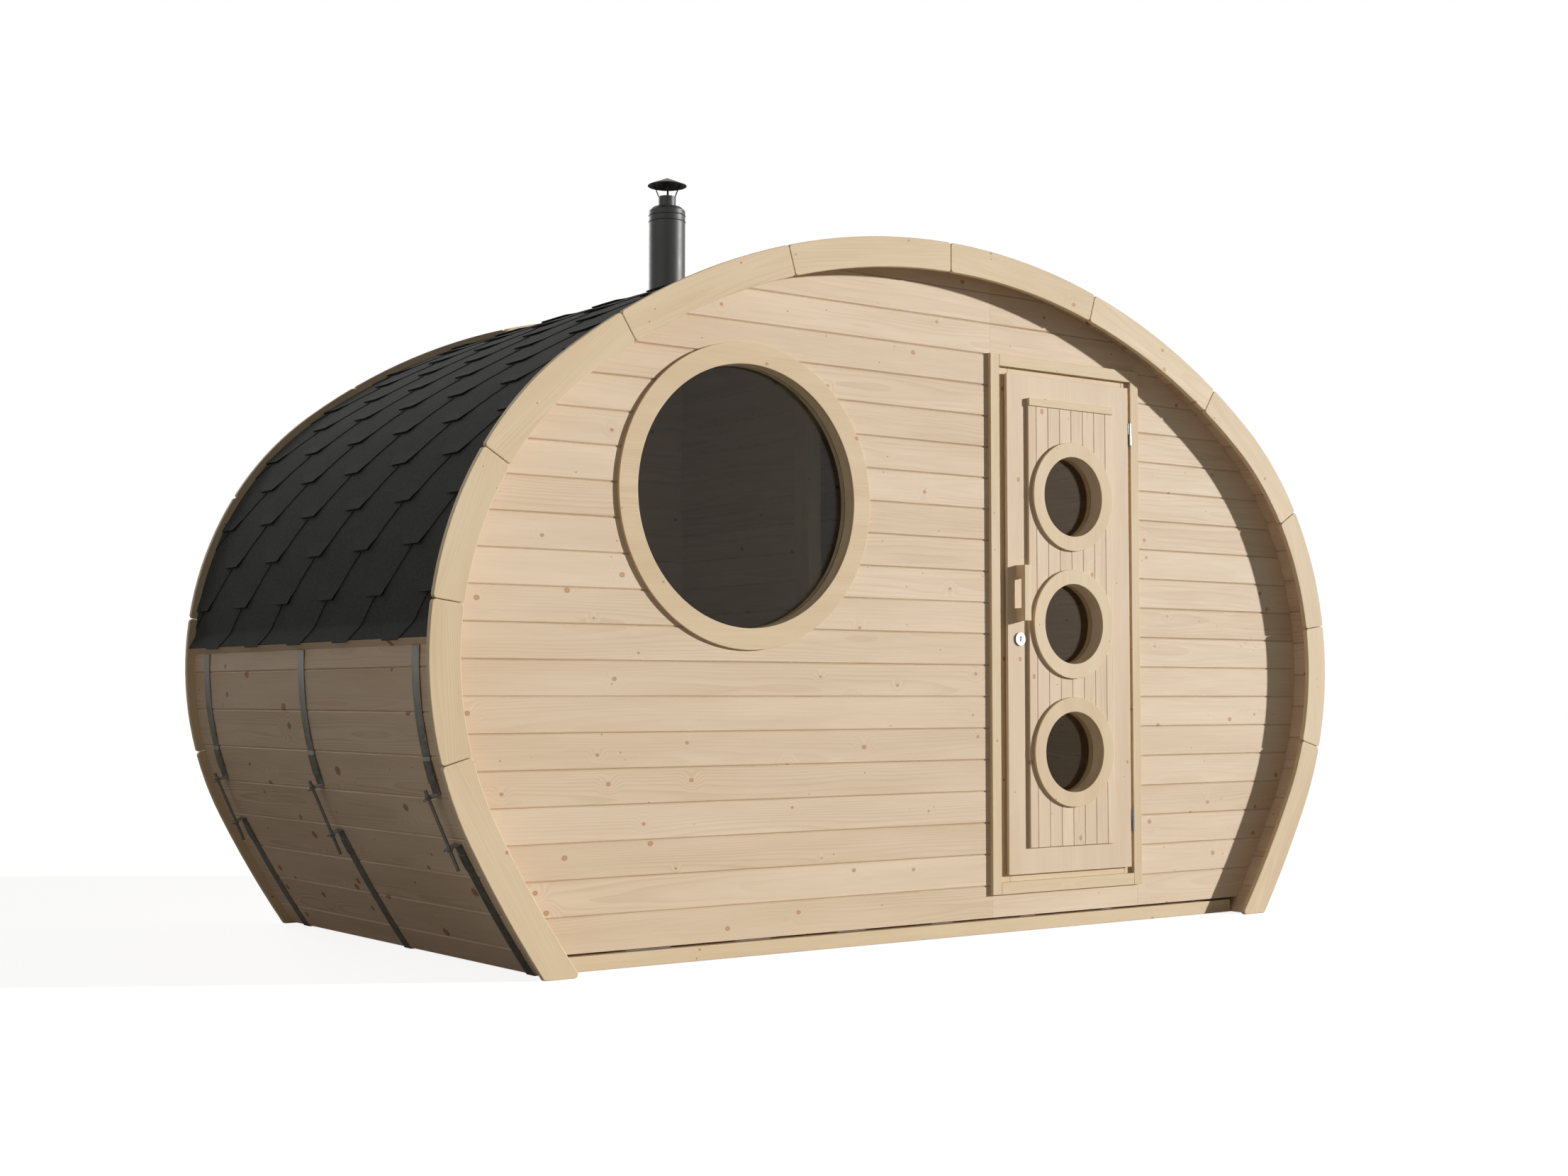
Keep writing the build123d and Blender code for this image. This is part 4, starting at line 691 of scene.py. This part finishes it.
def wooden_pieces():
    """Every wooden node, dressed as planed spruce."""
    wall = planed_spruce("planed_spruce_wall_boards", pale=0xE3CDB0, warm=0xC9AD8A, brown=0x9A5E30,
                         heart=0xBB8048, ring_share=0.34, knot_reach=8 * MM)
    trim = planed_spruce("planed_spruce_trim", pale=0xE0CAA6, warm=0xC9AD84, brown=0x945C30, heart=0xB47E48,
                         ring_share=0.3, knot_reach=7 * MM)
    stave = planed_spruce("planed_spruce_staves", pale=0xDEC6A9, warm=0xBC9C7A, brown=0x763415, heart=0x924A26,
                          ring_share=0.6, knot_reach=15 * MM)
    floor = planed_spruce("planed_spruce_floor", pale=0xD8C0A0, warm=0xB99A76, brown=0x80583A, heart=0x9C7450,
                          ring_share=0.5, knot_reach=10 * MM)
    for node in ("front_wall_left", "front_wall_right", "front_wall_over_door", "front_wall_under_door",
                 "rear_wall"):
        timber(node, wall, along=(1, 0, 0))
    timber("partition_wall", wall, along=(0, 1, 0))
    timber("partition_post", trim, along=(0, 0, 1), arris=2 * MM)
    for node in ("staves_crown", "staves_left_shoulder", "staves_right_shoulder", "staves_left_side",
                 "staves_right_side", "eaves_battens"):
        timber(node, stave, along=(0, 1, 0))
    for node in ("front_ring", "rear_ring"):
        timber(node, trim, arris=2.5 * MM, board_end=8 * MM)
    timber("floor_deck", floor, along=(1, 0, 0), arris=2 * MM)
    timber("floor_sills", trim, along=(1, 0, 0), arris=2 * MM)
    timber("floor_joists", floor, along=(0, 1, 0), arris=2 * MM)
    timber("window_trim_outside", trim, along=(1, 0, 0), arris=1.5 * MM, depths=WINDOW_TRIM_FACE)
    timber("window_lining", trim, along=(1, 0, 0), depths=WINDOW_LINING_FACE)
    for node in ("door_frame", "door_casing", "door_panel_lath"):
        timber(node, trim, arris=1.5 * MM)
    timber("door_leaf", wall, along=(0, 0, 1), arris=1.5 * MM)
    timber("door_panel", wall, along=(0, 0, 1), arris=1 * MM)
    for node in ("porthole_rings_outside", "porthole_rings_inside"):
        timber(node, trim, along=(0, 0, 1), arris=1.5 * MM)
    for node in ("door_handle", "door_handle_inside"):
        timber(node, trim, along=(0, 0, 1))


def other_nodes():
    """Metal and glass nodes, which keep their CAD shapes."""
    finishes = {
        galvanised_steel(): ("tension_bands_upper", "tension_bands_lower", "tension_brackets"),
        bright_zinc(): ("tension_rods",),
        satin_steel(): ("door_lock", "hinge_leaf_halves", "hinge_frame_halves"),
        stove_black(): ("chimney_pipe", "chimney_flue", "rain_cap", "chimney_flashing"),
        toughened_glass("clear_toughened_glass", tint=0xEAE2D4, sheen=0xFFE2C2, bend=1.45): ("porthole_glass",),
    }
    for material, held in finishes.items():
        for node in held:
            finish_node(node, material)


def lamp(name, turn, height, strength, spread):
    """Far lamp; its turn is from straight in front of the front wall towards the right. Angles in degrees."""
    light = bpy.data.objects.new(name, bpy.data.lights.new(name, "SUN"))
    light.data.energy = strength
    light.data.angle = math.radians(spread)
    turn, height = math.radians(turn), math.radians(height)
    towards = Vector((math.sin(turn) * math.cos(height), -math.cos(turn) * math.cos(height), math.sin(height)))
    light.rotation_euler = towards.to_track_quat("Z", "Y").to_euler()
    bpy.context.scene.collection.objects.link(light)


def window_pane():
    """The window's glass, set as deep in its lining as the photograph shows."""
    bm = bmesh.new()
    bm.from_mesh(nodes["window_glass"].data)
    bmesh.ops.remove_doubles(bm, verts=bm.verts[:], dist=WELD)
    set_depth(bm, WINDOW_GLASS_FACE)
    set_depth(bm, WINDOW_GLASS_BACK)
    for vert in bm.verts:
        vert.co.x = WINDOW_GLASS_MIDDLE[0] + (vert.co.x - WINDOW_GLASS_MIDDLE[0]) * WINDOW_GLASS_SHARE
        vert.co.z = WINDOW_GLASS_MIDDLE[1] + (vert.co.z - WINDOW_GLASS_MIDDLE[1]) * WINDOW_GLASS_SHARE
    glass = toughened_glass("smoke_tinted_glass", tint=0xDADCDA, sheen=0xDDE0DC, bend=1.3)
    pane = make_piece("window_pane", bm, "hut", "tinted_glass", glass)
    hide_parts("window_glass")


def pale_surroundings():
    """White backdrop, pale floor, one low sun-like lamp from the right of the front wall and two soft ones. The
    backdrop is white to the eye, in mirrors and through glass, and gives the object only a little light."""
    world = bpy.data.worlds.new("studio")
    bpy.context.scene.world = world
    world.use_nodes = True
    world.node_tree.nodes.clear()
    seen = add(world, "ShaderNodeLightPath").outputs
    white = add(world, "ShaderNodeMath",
                {0: seen["Is Camera Ray"], 1: seen["Is Glossy Ray"]}, operation="MAXIMUM")
    white = add(world, "ShaderNodeMath",
                {0: white.outputs[0], 1: seen["Is Transmission Ray"]}, operation="MAXIMUM")
    soft = add(world, "ShaderNodeMapRange", {"Value": white.outputs[0], "To Min": AMBIENT, "To Max": 1.0})
    light = add(world, "ShaderNodeBackground", {"Color": colour(0xFFFFFF), "Strength": soft.outputs[0]})
    add(world, "ShaderNodeOutputWorld", {"Surface": light.outputs[0]})

    # The low lamp is the sun's; the soft ones lighten the shaded side and the rear
    lamp("low_lamp", turn=55, height=11, strength=3.9, spread=2)
    lamp("soft_lamp_left", turn=-75, height=12, strength=0.3, spread=50)
    lamp("soft_lamp_behind", turn=180, height=16, strength=0.8, spread=30)

    bm = bmesh.new()
    bmesh.ops.create_grid(bm, x_segments=1, y_segments=1, size=FLOOR_REACH)
    mesh = bpy.data.meshes.new("studio_floor")
    bm.to_mesh(mesh)
    bm.free()
    floor = bpy.data.objects.new("studio_floor", mesh)
    bpy.context.scene.collection.objects.link(floor)
    material = bpy.data.materials.new("pale_studio_floor")
    material.use_nodes = True
    material.node_tree.nodes.clear()
    seen = add(material, "ShaderNodeLightPath").outputs
    white = add(material, "ShaderNodeMath", {0: seen["Is Camera Ray"], 1: seen["Is Transmission Ray"]},
                operation="MAXIMUM")
    lit = add(material, "ShaderNodeMath", {0: white.outputs[0], 1: FLOOR_GLOW}, operation="MULTIPLY")
    painted = add(material, "ShaderNodeBsdfDiffuse", {"Color": colour(0xBDBDBB)})
    glow = add(material, "ShaderNodeEmission", {"Strength": lit.outputs[0]})
    both = add(material, "ShaderNodeAddShader", {0: painted.outputs[0], 1: glow.outputs[0]})
    add(material, "ShaderNodeOutputMaterial", {"Surface": both.outputs[0]})
    mesh.materials.append(material)


def camera_as_photographed():
    """Camera at the photograph's place, low in front of the left corner."""
    camera = bpy.data.objects.new("camera", bpy.data.cameras.new("camera"))
    camera.data.lens = CAMERA_LENS
    camera.data.sensor_width = CAMERA_SENSOR
    camera.location = CAMERA_PLACE
    camera.rotation_euler = Vector(CAMERA_LOOKS).to_track_quat("-Z", "Y").to_euler()
    bpy.context.scene.collection.objects.link(camera)
    bpy.context.scene.camera = camera


bpy.context.scene.view_settings.view_transform = "Standard"
camera_as_photographed()
pale_surroundings()
wooden_pieces()
shingle_roof()
other_nodes()
window_pane()
